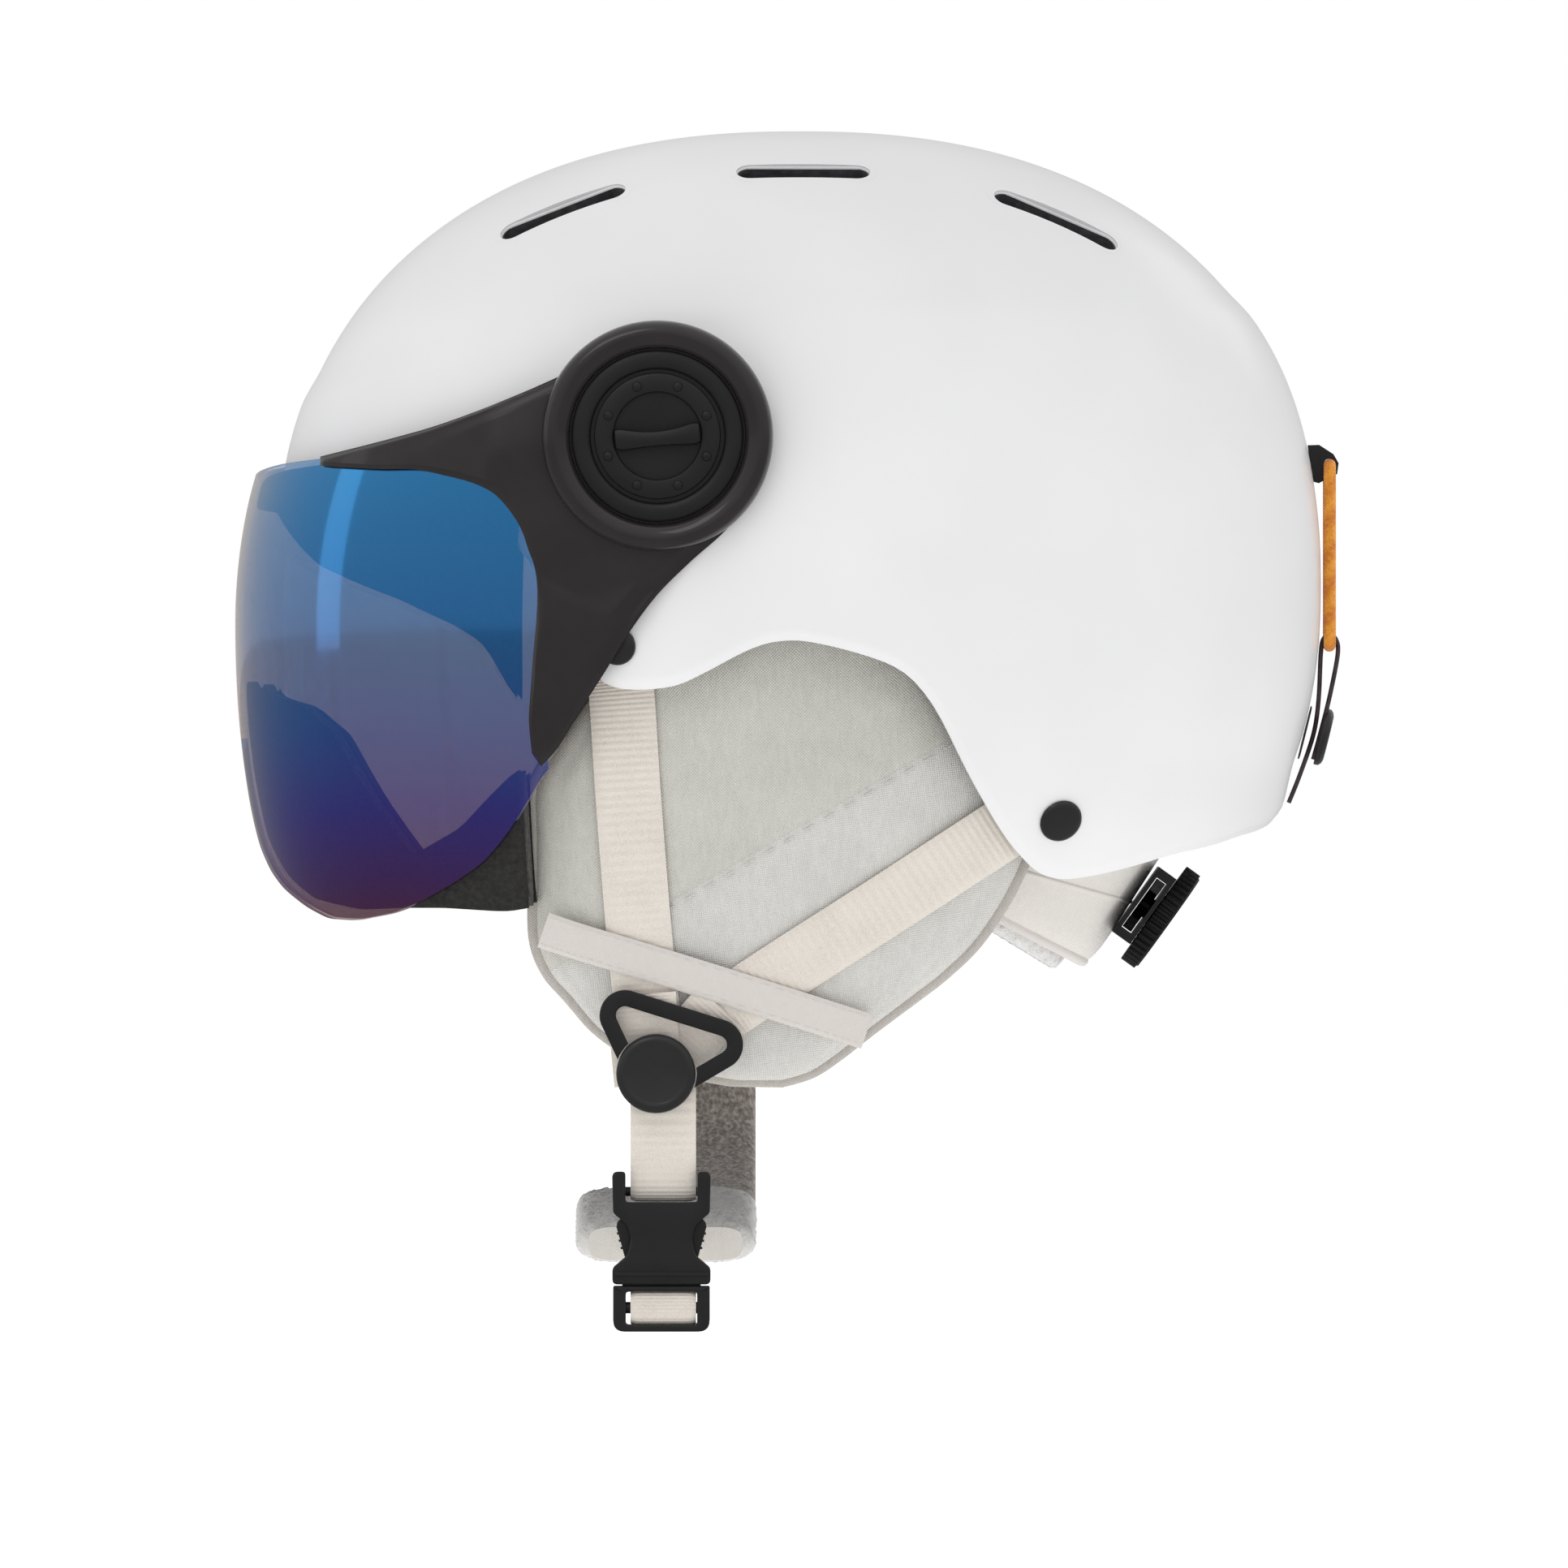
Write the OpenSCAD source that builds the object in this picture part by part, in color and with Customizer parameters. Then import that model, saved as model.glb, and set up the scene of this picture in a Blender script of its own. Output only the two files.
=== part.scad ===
// Snow helmet with a lifting mirrored visor, ear pads, chin strap and rear fit dial.
// Millimetres. +Z is up, the wearer looks along -X and the wearer's left side is -Y.
// The origin is the middle of the head space, on the plane of symmetry.
// Side parts are drawn for the +Y side and mirrored for the wearer's left.

/* [Shell] */
// Half length of the shell
shell_a = 144.5; // [140:0.5:148]
// Half width of the shell
shell_b = 108; // [106:0.5:109]
// Height of the crown above the origin
shell_c = 125.5; // [122:0.5:130]
// Thickness of the shell wall
shell_wall = 3; // [2:0.5:4]
// Length of each vent slot
vent_len = 37; // [28:1:40]
// Width of each vent slot
vent_w = 8; // [5:0.5:9]

/* [Liner] */
// Half length of the head space inside the foam liner
cavity_a = 108; // [104:1:112]
// Half width of the head space
cavity_b = 80; // [78:1:84]
// Height of the head space
cavity_c = 97; // [92:1:102]
// Depth of the comfort pads' inner faces below the liner
pad_t = 6; // [4:0.5:8]

/* [Visor] */
// Distance of the lens's front face ahead of the origin
lens_front = 156.4; // [154:0.2:158]
// Thickness of the lens
lens_t = 2.2; // [1.6:0.2:2.6]
// Thickness of the visor frame
frame_t = 2.8; // [2.4:0.2:3.2]
// How far the visor lifts, in degrees
visor_lift = 58; // [40:1:60]

/* [Straps] */
// Width of the webbing
web_w = 18; // [16:0.5:20]
// Thickness of the webbing
web_t = 1.4; // [1:0.1:1.6]

/* [Hidden] */
$fn = 48;
eps = 0.15;
shell_n = 2.3;
cavity_n = 2.2;

// Visor hinge, in the XZ plane, and its heights along Y
hub = [-39, 40];
hub_floor = 107.5;
hub_floor_t = 1.9;
axle_r = 8;
stem_r = 4;
running_gap = 0.05;
ring_in = 18.3;
ring_out = 23.6;
dial_r = 17.3;
collar_in = 24;
collar_out = 31.7;

// Lens surface: plan centre, half width, height of its most forward point
lens_x = 40;
lens_b = 103;
lens_z = -11;
lens_n = 2.3;
lens_t_max = 78;

// Buckle centre and levels
buckle_x = -38;
buckle_y = -80;
buckle_top = -162;
mouth_z = -193;
buckle_bottom = -206;
barb_pivot = [8.5, -189.5];

// Goggle clip hinge at the back of the shell
clip_pivot = [146.9, 33];
clip_cord_r = 1.7;

// Fit dial centre and the tilt of its axis from +Z towards +X
dial_pos = [99.85, 0, -92.15];
dial_tilt = 125.7;
rack_pitch_r = 5;
teeth = 10;

// ---------- shared functions ----------

function smooth(a, b, v) = let (t = min(1, max(0, (v - a) / (b - a)))) t * t * (3 - 2 * t);
function mix(a, b, t) = a + (b - a) * t;
function dir(az, el) = [cos(az) * cos(el), sin(az) * cos(el), sin(el)];

// Distance from the origin to a superellipsoid of half axes s along direction d
function reach(d, s, n) =
    pow(pow(abs(d[0]) / s[0], n) + pow(abs(d[1]) / s[1], n) + pow(abs(d[2]) / s[2], n), -1 / n);

// Point at a fraction of a smooth curve through hand-set points
function spline(p, u) =
    let (n = len(p) - 1, k = min(n - 1, floor(u * n)), t = u * n - k,
         a = p[max(0, k - 1)], b = p[k], c = p[k + 1], d = p[min(n, k + 2)])
    0.5 * (2 * b + (c - a) * t + (2 * a - 5 * b + 4 * c - d) * t * t
           + (3 * b - 3 * c + d - a) * t * t * t);

shell_s = [shell_a, shell_b, shell_c];
cavity_s = [cavity_a, cavity_b, cavity_c];
function shell_pt(az, el, off) = let (d = dir(az, el)) (reach(d, shell_s, shell_n) + off) * d;
function cavity_pt(az, el, off) = let (d = dir(az, el)) (reach(d, cavity_s, cavity_n) + off) * d;

// Half width of the shell at a side-view point
function shell_y(x, z) =
    shell_b * pow(max(0.001, 1 - pow(abs(x) / shell_a, shell_n) - pow(abs(z) / shell_c, shell_n)),
                  1 / shell_n);

// Lower edge of the shell, seen from the side, from the nape to the brow
rim = [[133, -65], [120, -69], [102, -74], [83, -80], [73, -82], [67, -81], [63, -78],
       [57, -71], [51, -61], [45, -50], [39, -37], [34, -29.5], [28, -24], [20.5, -21],
       [10, -18], [0, -16], [-8, -16.5], [-15, -19], [-24, -24], [-34, -29], [-44, -30],
       [-52, -29.5], [-58, -26], [-66, -9], [-76, 8], [-88, 19], [-110, 24], [-130, 25.5],
       [-143, 26]];
rim_table = [for (i = [0 : len(rim) - 1])
    let (x = rim[i][0], z = rim[i][1], y = i == 0 || i == len(rim) - 1 ? 0 : shell_y(x, z))
    [atan2(y, x), atan2(z, norm([x, y]))]];
function fold(az) = let (a = abs(az) % 360) a > 180 ? 360 - a : a;
function rim_at(az) = lookup(fold(az), rim_table);
function rim_el(az) = (rim_at(az - 1.5) + 2 * rim_at(az) + rim_at(az + 1.5)) / 4;
// The foam stops higher than the shell around the ear, which leaves room for the ear pad
function liner_el(az) =
    let (a = fold(az), ear = smooth(38, 52, a) * (1 - smooth(118, 140, a)))
    max(rim_el(az) + 1, mix(rim_el(az) + 1, 6, ear));

// ---------- shared solids ----------

// Solid between two open grids; u, v and the way out form a right-handed set
module slab(fo, fi, nu, nv) {
    m = nv + 1;
    s = (nu + 1) * m;
    pts = [for (f = [fo, fi]) for (i = [0 : nu]) for (j = [0 : nv]) f(i / nu, j / nv)];
    quads = concat(
        [for (i = [0 : nu - 1]) for (j = [0 : nv - 1])
            [i * m + j, i * m + j + 1, (i + 1) * m + j + 1, (i + 1) * m + j]],
        [for (i = [0 : nu - 1]) for (j = [0 : nv - 1])
            [s + i * m + j, s + (i + 1) * m + j, s + (i + 1) * m + j + 1, s + i * m + j + 1]],
        [for (i = [0 : nu - 1]) [i * m, (i + 1) * m, s + (i + 1) * m, s + i * m]],
        [for (i = [0 : nu - 1])
            [(i + 1) * m + nv, i * m + nv, s + i * m + nv, s + (i + 1) * m + nv]],
        [for (j = [0 : nv - 1]) [j + 1, j, s + j, s + j + 1]],
        [for (j = [0 : nv - 1])
            [nu * m + j, nu * m + j + 1, s + nu * m + j + 1, s + nu * m + j]]);
    polyhedron(pts, [for (q = quads) each [[q[0], q[1], q[2]], [q[0], q[2], q[3]]]]);
}

// Solid between two domes that share their lower edge's azimuths; v runs up to the pole
module dome(fo, fi, nu, nv) {
    s = nu * nv + 1;
    pts = concat(
        [for (j = [0 : nv - 1]) for (i = [0 : nu - 1]) fo(i / nu, j / nv)], [fo(0, 1)],
        [for (j = [0 : nv - 1]) for (i = [0 : nu - 1]) fi(i / nu, j / nv)], [fi(0, 1)]);
    quads = [for (j = [0 : nv - 2]) for (i = [0 : nu - 1]) let (k = (i + 1) % nu)
        each [[j * nu + i, (j + 1) * nu + i, (j + 1) * nu + k, j * nu + k],
              [s + j * nu + i, s + j * nu + k, s + (j + 1) * nu + k, s + (j + 1) * nu + i]]];
    lip = [for (i = [0 : nu - 1]) let (k = (i + 1) % nu) [i, k, s + k, s + i]];
    top = (nv - 1) * nu;
    caps = [for (i = [0 : nu - 1]) let (k = (i + 1) % nu)
        each [[top + i, s - 1, top + k], [s + top + i, s + top + k, 2 * s - 1]]];
    polyhedron(pts, concat([for (q = concat(quads, lip))
        each [[q[0], q[1], q[2]], [q[0], q[2], q[3]]]], caps));
}

// Pad that lies inside the foam liner between two azimuths and two elevations
module cavity_patch(az0, az1, el0, el1, nu, nv) {
    slab(function (u, v) cavity_pt(mix(az0, az1, u), mix(el0(mix(az0, az1, u)), el1, v), -1.5),
         function (u, v) cavity_pt(mix(az0, az1, u), mix(el0(mix(az0, az1, u)), el1, v), -pad_t),
         nu, nv);
}

// Places children, drawn along +Z, along +Y at a side-view point
module along_y(p) { translate([p[0], 0, p[1]]) rotate([-90, 0, 0]) children(); }
module left() { mirror([0, 1, 0]) children(); }
// Places children in the fit dial's frame: +Z is the dial's axis, +Y is the helmet's
module at_dial() { translate(dial_pos) rotate([0, dial_tilt, 0]) children(); }
// Plate with an outline in the XZ plane, between two heights along Y
module side_plate(y0, y1) { translate([0, y1, 0]) rotate([90, 0, 0]) linear_extrude(y1 - y0) children(); }
// Rounded slot along X, through Z
module slot(l, w, h) {
    translate([-(l - w) / 2, -w / 2, -h / 2]) cube([l - w, w, h]);
    for (s = [-1, 1]) translate([s * (l - w) / 2, 0, -h / 2]) cylinder(d = w, h = h);
}

// ---------- shell, liner and comfort pads ----------

// Vents of one side: along X, height where the slot meets the shell, and tilt about Y
vents = [[-66, 104.5, -19], [1, 114, 0], [71.5, 102.5, 19]];
vent_y = 54;
vent_lean = 28;
module at_vents() {
    for (side = [-1, 1]) for (v = vents)
        translate([v[0], side * vent_y, v[1]]) rotate([-side * vent_lean, v[2], 0]) children();
}
module vent_cuts(l, w) { at_vents() slot(l, w, 90); }

module shell() color("white") difference() {
    dome(function (u, v) shell_pt(360 * u, mix(rim_el(360 * u), 90, v), 0),
         function (u, v) shell_pt(360 * u, mix(rim_el(360 * u), 90, v), -shell_wall), 96, 14);
    vent_cuts(vent_len, vent_w);
}
module eps_liner() color("dimgray") difference() {
    dome(function (u, v) shell_pt(360 * u, mix(liner_el(360 * u), 90, v), -shell_wall - 0.8),
         function (u, v) cavity_pt(360 * u, mix(liner_el(360 * u), 90, v), 0), 60, 14);
    vent_cuts(vent_len + 2, vent_w + 2);
}
// Mesh that closes each vent channel just inside the shell
module vent_grilles() color("black") at_vents() translate([0, 0, -9]) {
    difference() {
        slot(vent_len + 1.6, vent_w + 1.6, 1.4);
        for (i = [-3 : 3]) translate([i * 4.6, 0, 0]) cube([2.6, vent_w - 2, 3], center = true);
    }
}
module brow_pad() color("gainsboro")
    cavity_patch(118, 242, function (az) 14, 34, 24, 4);
module rear_pad() color("gainsboro")
    cavity_patch(-44, 44, function (az) -16, 8, 20, 4);
module side_pad_right() color("gainsboro")
    cavity_patch(58, 112, function (az) 14, 36, 12, 4);
module side_pad_left() left() side_pad_right();
module crown_pad() color("gainsboro")
    for (az = [45 : 90 : 315]) cavity_patch(az - 38, az + 38, function (az) 44, 74, 10, 4);

// ---------- ear pads ----------

function ear_y(x, z) = 95 - pow(x + 5, 2) / 700 - pow(z + 15, 2) / 900
                       - 0.0016 * max(0, x) * max(0, -z);
// Height, front edge and rear edge of the ear pad, from its lowest point to its top
ear_edges = [[-137, -17, -5], [-134.5, -30, 3], [-130, -44, 10], [-123, -55, 19],
             [-114, -63, 31], [-107, -69, 40], [-98, -72.4, 49], [-84, -72.7, 58],
             [-70, -72.7, 63], [-56, -72.6, 59], [-46, -67, 51], [-34, -59, 43],
             [-22, -50, 34], [-12, -38, 22], [-6, -24, 6]];
module ear_pad_right() color("lightgray") slab(
    function (u, v) let (e = spline(ear_edges, u), x = mix(e[1], e[2], v))
        [x, ear_y(x, e[0]) - 6 + 6 * ear_plump(u, v), e[0]],
    function (u, v) let (e = spline(ear_edges, u), x = mix(e[1], e[2], v))
        [x, ear_y(x, e[0]) - 10 - 6 * ear_plump(u, v), e[0]],
    18, 10);
function ear_plump(u, v) = sqrt(1 - pow(abs(2 * u - 1), 8)) * sqrt(1 - pow(abs(2 * v - 1), 6));
module ear_pad_left() left() ear_pad_right();

// ---------- straps ----------

// Flat band on the ear pad: route in side view, width, and its two heights above the pad
module ear_band(route, w, low, high, n) {
    slab(function (u, v) ear_band_pt(route, w, u, v, high),
         function (u, v) ear_band_pt(route, w, u, v, low), n, 2);
}
function ear_band_pt(route, w, u, v, h) =
    let (p = spline(route, u), q = spline(route, min(1, u + 0.02)), r = spline(route, max(0, u - 0.02)),
         t = (q - r) / norm(q - r), x = p[0] + t[1] * (v - 0.5) * w, z = p[1] - t[0] * (v - 0.5) * w)
    [x, ear_y(x, z) + h, z];
front_route = [[-50, -22], [-48.8, -32], [-47, -60], [-44, -98], [-41.5, -121]];
rear_route = [[66, -61.5], [55, -68.5], [25, -88], [-7, -108.5], [-24, -120]];
keeper_route = [[-70.5, -95.5], [-60, -99], [-35, -106.5], [0, -117.5], [18.5, -123.5]];
module strap_front_right() color("antiquewhite") ear_band(front_route, web_w, 0.5, 0.5 + web_t, 16);
module strap_rear_right() color("antiquewhite")
    ear_band(rear_route, web_w - 1, 0.5, 0.5 + web_t, 16);
module keeper_band_right() color("gainsboro") ear_band(keeper_route, 10, 2.2, 3.2, 16);
module strap_front_left() left() strap_front_right();
module strap_rear_left() left() strap_rear_right();
module keeper_band_left() left() keeper_band_right();

divider_y = 86.5;
divider_t = 3.2;
divider_corners = [[-48, -119], [-22.5, -127], [-39.5, -137]];
button_pos = [-39.5, -135];
module divider_outline(r) hull()
    for (p = divider_corners) translate(p) circle(r = r, $fn = 32);
module strap_divider_right() color("#222222") difference() {
    side_plate(divider_y - divider_t / 2, divider_y + divider_t / 2) difference() {
        divider_outline(7);
        divider_outline(2.8);
    }
    along_y(button_pos) cylinder(r = 11.2, h = 2 * divider_y);
}
module divider_button_right() color("#1a1a1a") along_y(button_pos) {
    translate([0, 0, divider_y - 1.5]) cylinder(r = 10.9, h = 3.6);
    translate([0, 0, divider_y + 2.1]) cylinder(r1 = 10.9, r2 = 9.6, h = 1.3);
}
module strap_divider_left() left() strap_divider_right();
module divider_button_left() left() divider_button_right();

// Webbing that lies in YZ planes: a hand-set route of [y, z] and a width along X
module hanging_web(route, x0, x1, t, n) {
    slab(function (u, v) hanging_pt(route, mix(x0, x1, v), u, t / 2),
         function (u, v) hanging_pt(route, mix(x0, x1, v), u, -t / 2), n, 2);
}
function hanging_pt(route, x, u, off) =
    let (p = spline(route, u), q = spline(route, min(1, u + 0.02)), r = spline(route, max(0, u - 0.02)),
         t = (q - r) / norm(q - r)) [x, p[0] + t[1] * off, p[1] - t[0] * off];
lower_route = [[-84.6, -147], [-83, -153], [-81.5, -160], [-80, -168.2]];
module lower_strap_left() color("antiquewhite") hanging_web(lower_route, -28.5, -46.5, web_t, 10);
chin_route = [[-54, -189.5], [-40, -185], [-23, -180.5], [0, -177.5], [25, -174.5], [50, -166],
              [70, -153], [82.5, -137.5]];
module chin_strap() color("antiquewhite") hanging_web(chin_route, -28.5, -46.5, web_t, 28);
end_route = [[-86.6, -199], [-78, -200.6], [-68, -197], [-55.5, -190.2]];
module chin_strap_end() color("antiquewhite") hanging_web(end_route, -28.5, -46.5, web_t, 12);

// Fleece-covered roll round the chin strap
pad_route = [[-30, -182.3], [-14, -179.2], [0, -177.5], [16, -175.9], [32, -172.8]];
module chin_pad() color("whitesmoke") {
    pad_half(function (u, v) pad_h(u, v), function (u, v) 1.1);
    pad_half(function (u, v) -1.1, function (u, v) -pad_h(u, v));
}
function pad_h(u, v) = 1.8 + 7 * sqrt((1 - pow(abs(2 * v - 1), 4)) * (1 - pow(abs(2 * u - 1), 8)));
module pad_half(high, low) slab(
    function (u, v) hanging_pt(pad_route, mix(-13, -61, v), u, high(u, v)),
    function (u, v) hanging_pt(pad_route, mix(-13, -61, v), u, low(u, v)), 10, 12);
// Heathered sleeve over the far side of the chin strap
module chin_sleeve() color("#9a928c") {
    sleeve_half(2.6, 1);
    sleeve_half(-1, -2.6);
}
module sleeve_half(high, low) slab(
    function (u, v) hanging_pt(chin_route, mix(-12, -43, v), mix(0.66, 0.97, u), high),
    function (u, v) hanging_pt(chin_route, mix(-12, -43, v), mix(0.66, 0.97, u), low), 12, 2);

// ---------- side-release buckle ----------

module at_buckle() { translate([buckle_x, buckle_y, 0]) children(); }
// Box centred on X and Y, between two heights
module block(x, y, z0, z1) { translate([-x / 2, -y / 2, z0]) cube([x, y, z1 - z0]); }
module buckle_socket() color("#1c1c1e") at_buckle() {
    difference() {
        union() {
            block(27, 9, mouth_z, -172);
            for (s = [-1, 1]) translate([s * 11.5, 0, 0]) block(3.6, 6, -173, buckle_top);
            translate([0, -1.2, 0]) block(20, 2, -173, -170);
        }
        // Cavity for the plug, and a side window for each arm
        block(22.6, 5.6, mouth_z - 1, -174);
        for (s = [-1, 1]) translate([s * 14, 0, 0]) block(9, 5.6, -187, -174);
        for (s = [-1, 1]) translate([s * 16.6, 0, -180.5]) rotate([90, 0, 0])
            cylinder(r = 6.6, h = 20, center = true);
    }
    // Bar that the webbing turns round
    translate([0, 2.4, -167.5]) rotate([0, 90, 0]) cylinder(r = 1.3, h = 22, center = true);
}
module buckle_plug() color("#1c1c1e") at_buckle() difference() {
    union() {
        block(26.6, 8.6, buckle_bottom, mouth_z - 0.3);
        block(21.6, 5, mouth_z - 1, barb_pivot[1]);
        block(5, 4, mouth_z, -178);
    }
    // Window for the webbing
    translate([0, -3, 0]) block(19.2, 9, -203.6, -197.6);
    translate([0, 3, 0]) block(19.2, 9, -203.6, -197.6);
    for (s = [-1, 1]) translate([s * barb_pivot[0], 0, barb_pivot[1]]) rotate([90, 0, 0])
        cylinder(r = 2, h = 20, center = true);
}
// One sprung arm, drawn for the rear side
module buckle_arm() at_buckle() {
    translate([barb_pivot[0], 0, barb_pivot[1]]) rotate([90, 0, 0])
        cylinder(r = 1.7, h = 4.4, center = true);
    rotate([90, 0, 0]) linear_extrude(4.4, center = true)
        polygon([[7.3, -189.5], [9.7, -189.5], [9.7, -186.5], [12.6, -176.4], [11.4, -174.8],
                 [8.4, -175.2], [7.3, -177.5]]);
}
module buckle_arm_rear() color("#242427") buckle_arm();
module buckle_arm_front() color("#242427") translate([2 * buckle_x, 0, 0]) mirror([1, 0, 0]) buckle_arm();

// ---------- visor ----------

function lens_reach(z) = lens_front - lens_x - (z > lens_z ? 0.0032 : 0.0014) * pow(z - lens_z, 2);
function lens_side(z) = lens_b - (z < lens_z ? 0.0016 * pow(z - lens_z, 2) : 0);
// Point on the lens surface at a plan angle from dead ahead, moved inwards
function lens_pt(t, z, inset) =
    [-lens_x - (lens_reach(z) - inset) * pow(cos(t), 2 / lens_n),
     (t < 0 ? -1 : 1) * (lens_side(z) - inset) * pow(sin(abs(t)), 2 / lens_n), z];
function lens_y(x, z) =
    lens_side(z) * pow(max(0.001, 1 - pow(min(1, max(0, -x - lens_x) / lens_reach(z)), lens_n)), 1 / lens_n);
// Upper and lower edges of the lens against the plan angle
lens_top = [[0, 30], [23, 33], [36, 34.3], [52, 35], [62, 35.5], [69, 33], [74, 26], [78, -8]];
lens_low = [[0, -42], [3, -49], [6, -61], [10, -72], [15.6, -79.5], [20.5, -84], [29, -89.5],
            [35, -92.5], [42, -93], [50.7, -91], [57, -87.5], [63, -82.5], [68, -77],
            [72, -69], [75.8, -58], [78, -50]];
function lens_edge(table, t) = (lookup(abs(t) - 1.2, table) + 2 * lookup(abs(t), table)
                                + lookup(abs(t) + 1.2, table)) / 4;
module lens_band(high, low, out_inset, in_inset, t_max, nu, nv) slab(
    function (u, v) let (t = mix(-t_max, t_max, u)) lens_pt(t, mix(high(t), low(t), v), out_inset),
    function (u, v) let (t = mix(-t_max, t_max, u)) lens_pt(t, mix(high(t), low(t), v), in_inset),
    nu, nv);
module visor_lens() color([0.1, 0.35, 0.7]) lens_band(
    function (t) lens_edge(lens_top, t), function (t) lens_edge(lens_low, t), 0, lens_t, lens_t_max, 60, 9);
foam_low = [[0, -40.5], [3, -47], [6, -59], [10, -70], [20, -81], [29, -87], [42, -90],
            [50, -89.5], [60, -89.5], [70, -90.5], [75, -89]];
module visor_face_foam() color("#2b2a29") lens_band(
    function (t) mix(13, 26, smooth(30, 70, abs(t))) + lens_edge(foam_low, t),
    function (t) lens_edge(foam_low, t), lens_t + 0.4, 12.5, 73.4, 56, 3);
module visor_brow_seal() color("#2b2a29") lens_band(
    function (t) lens_edge(lens_top, t) - 1.5, function (t) lens_edge(lens_top, t) - 11,
    lens_t + 0.3, lens_t + 3.2, 52, 28, 2);

// Widest place of the shell that a side-view point passes while the visor lifts
function lift_pt(p, a) = let (x = p[0] - hub[0], z = p[1] - hub[1])
    [hub[0] + x * cos(a) + z * sin(a), hub[1] - x * sin(a) + z * cos(a)];
function clear_y(x, z) = max([for (a = [0 : 6 : visor_lift + 2]) let (p = lift_pt([x, z], a)) shell_y(p[0], p[1])]);
// Outer face of the visor frame: over the lens, clear of the shell, rising to the hub
function frame_y(x, z) =
    let (rho = norm([x - hub[0], z - hub[1]]), rise = 1 - smooth(30, 50, rho),
         gap = 0.6 + 2.4 * smooth(30, 52, rho),
         over_lens = lens_y(x, z) + frame_t + 0.4, over_shell = clear_y(x, z) + gap + frame_t,
         base = (over_lens + over_shell + norm([over_lens - over_shell, 2])) / 2)
    mix(base, max(base, hub_floor + frame_t + 0.4), rise);
// Outer edge of the frame, and the point of its lens-side edge that faces each point
frame_out = [[-132, 34.8], [-113, 39.4], [-97, 44], [-76, 52], [-59, 59.5], [-46, 64.5],
             [-33, 66], [-18, 60], [-9.5, 49], [-7.7, 37], [-11, 26], [-20, 14.5],
             [-30, 5.5], [-39, -3.5], [-46.5, -13.5], [-53, -24], [-60, -35], [-66, -45],
             [-71, -50.6]];
frame_in = [[-132, 32.2], [-117, 31.2], [-106, 31], [-97, 29.2], [-90, 27.3], [-85, 25],
            [-82, 22.5], [-79.5, 19.5], [-77.5, 16.5], [-75.8, 13], [-74.5, 9], [-73, 5],
            [-72.2, 1], [-72, -4], [-72.3, -11], [-73, -18.5], [-73.7, -28], [-74.3, -38],
            [-73.5, -47]];
function frame_pt(u, v, drop) =
    let (a = spline(frame_out, u), b = spline(frame_in, u), p = a + (b - a) * v)
    [p[0], frame_y(p[0], p[1]) - drop, p[1]];
module visor_frame_right() color("#373334") difference() {
    union() {
        difference() {
            slab(function (u, v) frame_pt(u, v, 0), function (u, v) frame_pt(u, v, frame_t), 42, 8);
            along_y(hub) cylinder(r = 29, h = 200);
        }
        along_y(hub) translate([0, 0, hub_floor]) {
            cylinder(r = 30.5, h = hub_floor_t);
            rotate_extrude() polygon([[collar_in, 1], [30.5, 0], [collar_out, 0.6], [collar_out, 4],
                [31, 6], [29.8, 7.2], [28.4, 7.6], [26.6, 7.2], [25, 6.2], [collar_in, 5]]);
        }
    }
    along_y(hub) cylinder(r = axle_r + running_gap, h = 200);
}
module visor_frame_left() left() visor_frame_right();
// Pedestal on the shell that carries the visor's axle
module hub_base_right() color("#2a2829") difference() {
    union() {
        dome(function (u, v) let (p = hub_polar(u, v)) [p[0], hub_floor - 0.4, p[1]],
             function (u, v) let (p = hub_polar(u, v)) [p[0], shell_y(p[0], p[1]) + eps, p[1]], 32, 4);
        along_y(hub) translate([0, 0, hub_floor - 2]) cylinder(r = axle_r, h = 2 + hub_floor_t);
    }
    along_y(hub) cylinder(r = stem_r + running_gap, h = 200);
}
function hub_polar(u, v) = hub + 21 * (1 - v) * [cos(360 * u), -sin(360 * u)];
module hub_base_left() left() hub_base_right();
module hub_ring_right() color("#262628") along_y(hub) translate([0, 0, hub_floor + hub_floor_t + 0.05])
    rotate_extrude() polygon([[ring_in, 0], [ring_out, 0], [ring_out, 3.2], [ring_out - 0.9, 4],
                              [ring_in + 1.2, 4], [ring_in, 3]]);
module hub_ring_left() left() hub_ring_right();
module hub_dial_right() color("#262628") along_y(hub) translate([0, 0, hub_floor + hub_floor_t + 0.5]) {
    difference() {
        union() {
            cylinder(r = dial_r, h = 2.9);
            translate([0, 0, 2.9]) cylinder(r1 = dial_r, r2 = dial_r - 0.9, h = 0.7);
        }
        translate([0, 0, 2.2]) cylinder(r = 12, h = 4);
    }
    for (i = [0 : 7]) rotate(45 * i + 22.5) translate([14.6, 0, 3.4]) cylinder(r1 = 1.4, r2 = 0.9, h = 0.8);
    // Waisted bar to grip
    rotate(5) intersection() {
        difference() {
            translate([-11.6, -3.6, 2]) cube([23.2, 7.2, 4.3]);
            for (s = [-1, 1]) translate([0, s * 26.6, 0]) cylinder(r = 24, h = 10, $fn = 96);
        }
        cylinder(r = 11.7, h = 10);
    }
    translate([0, 0, -6]) cylinder(r = stem_r, h = 6.5);
}
module hub_dial_left() left() hub_dial_right();

// ---------- rivets ----------

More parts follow.
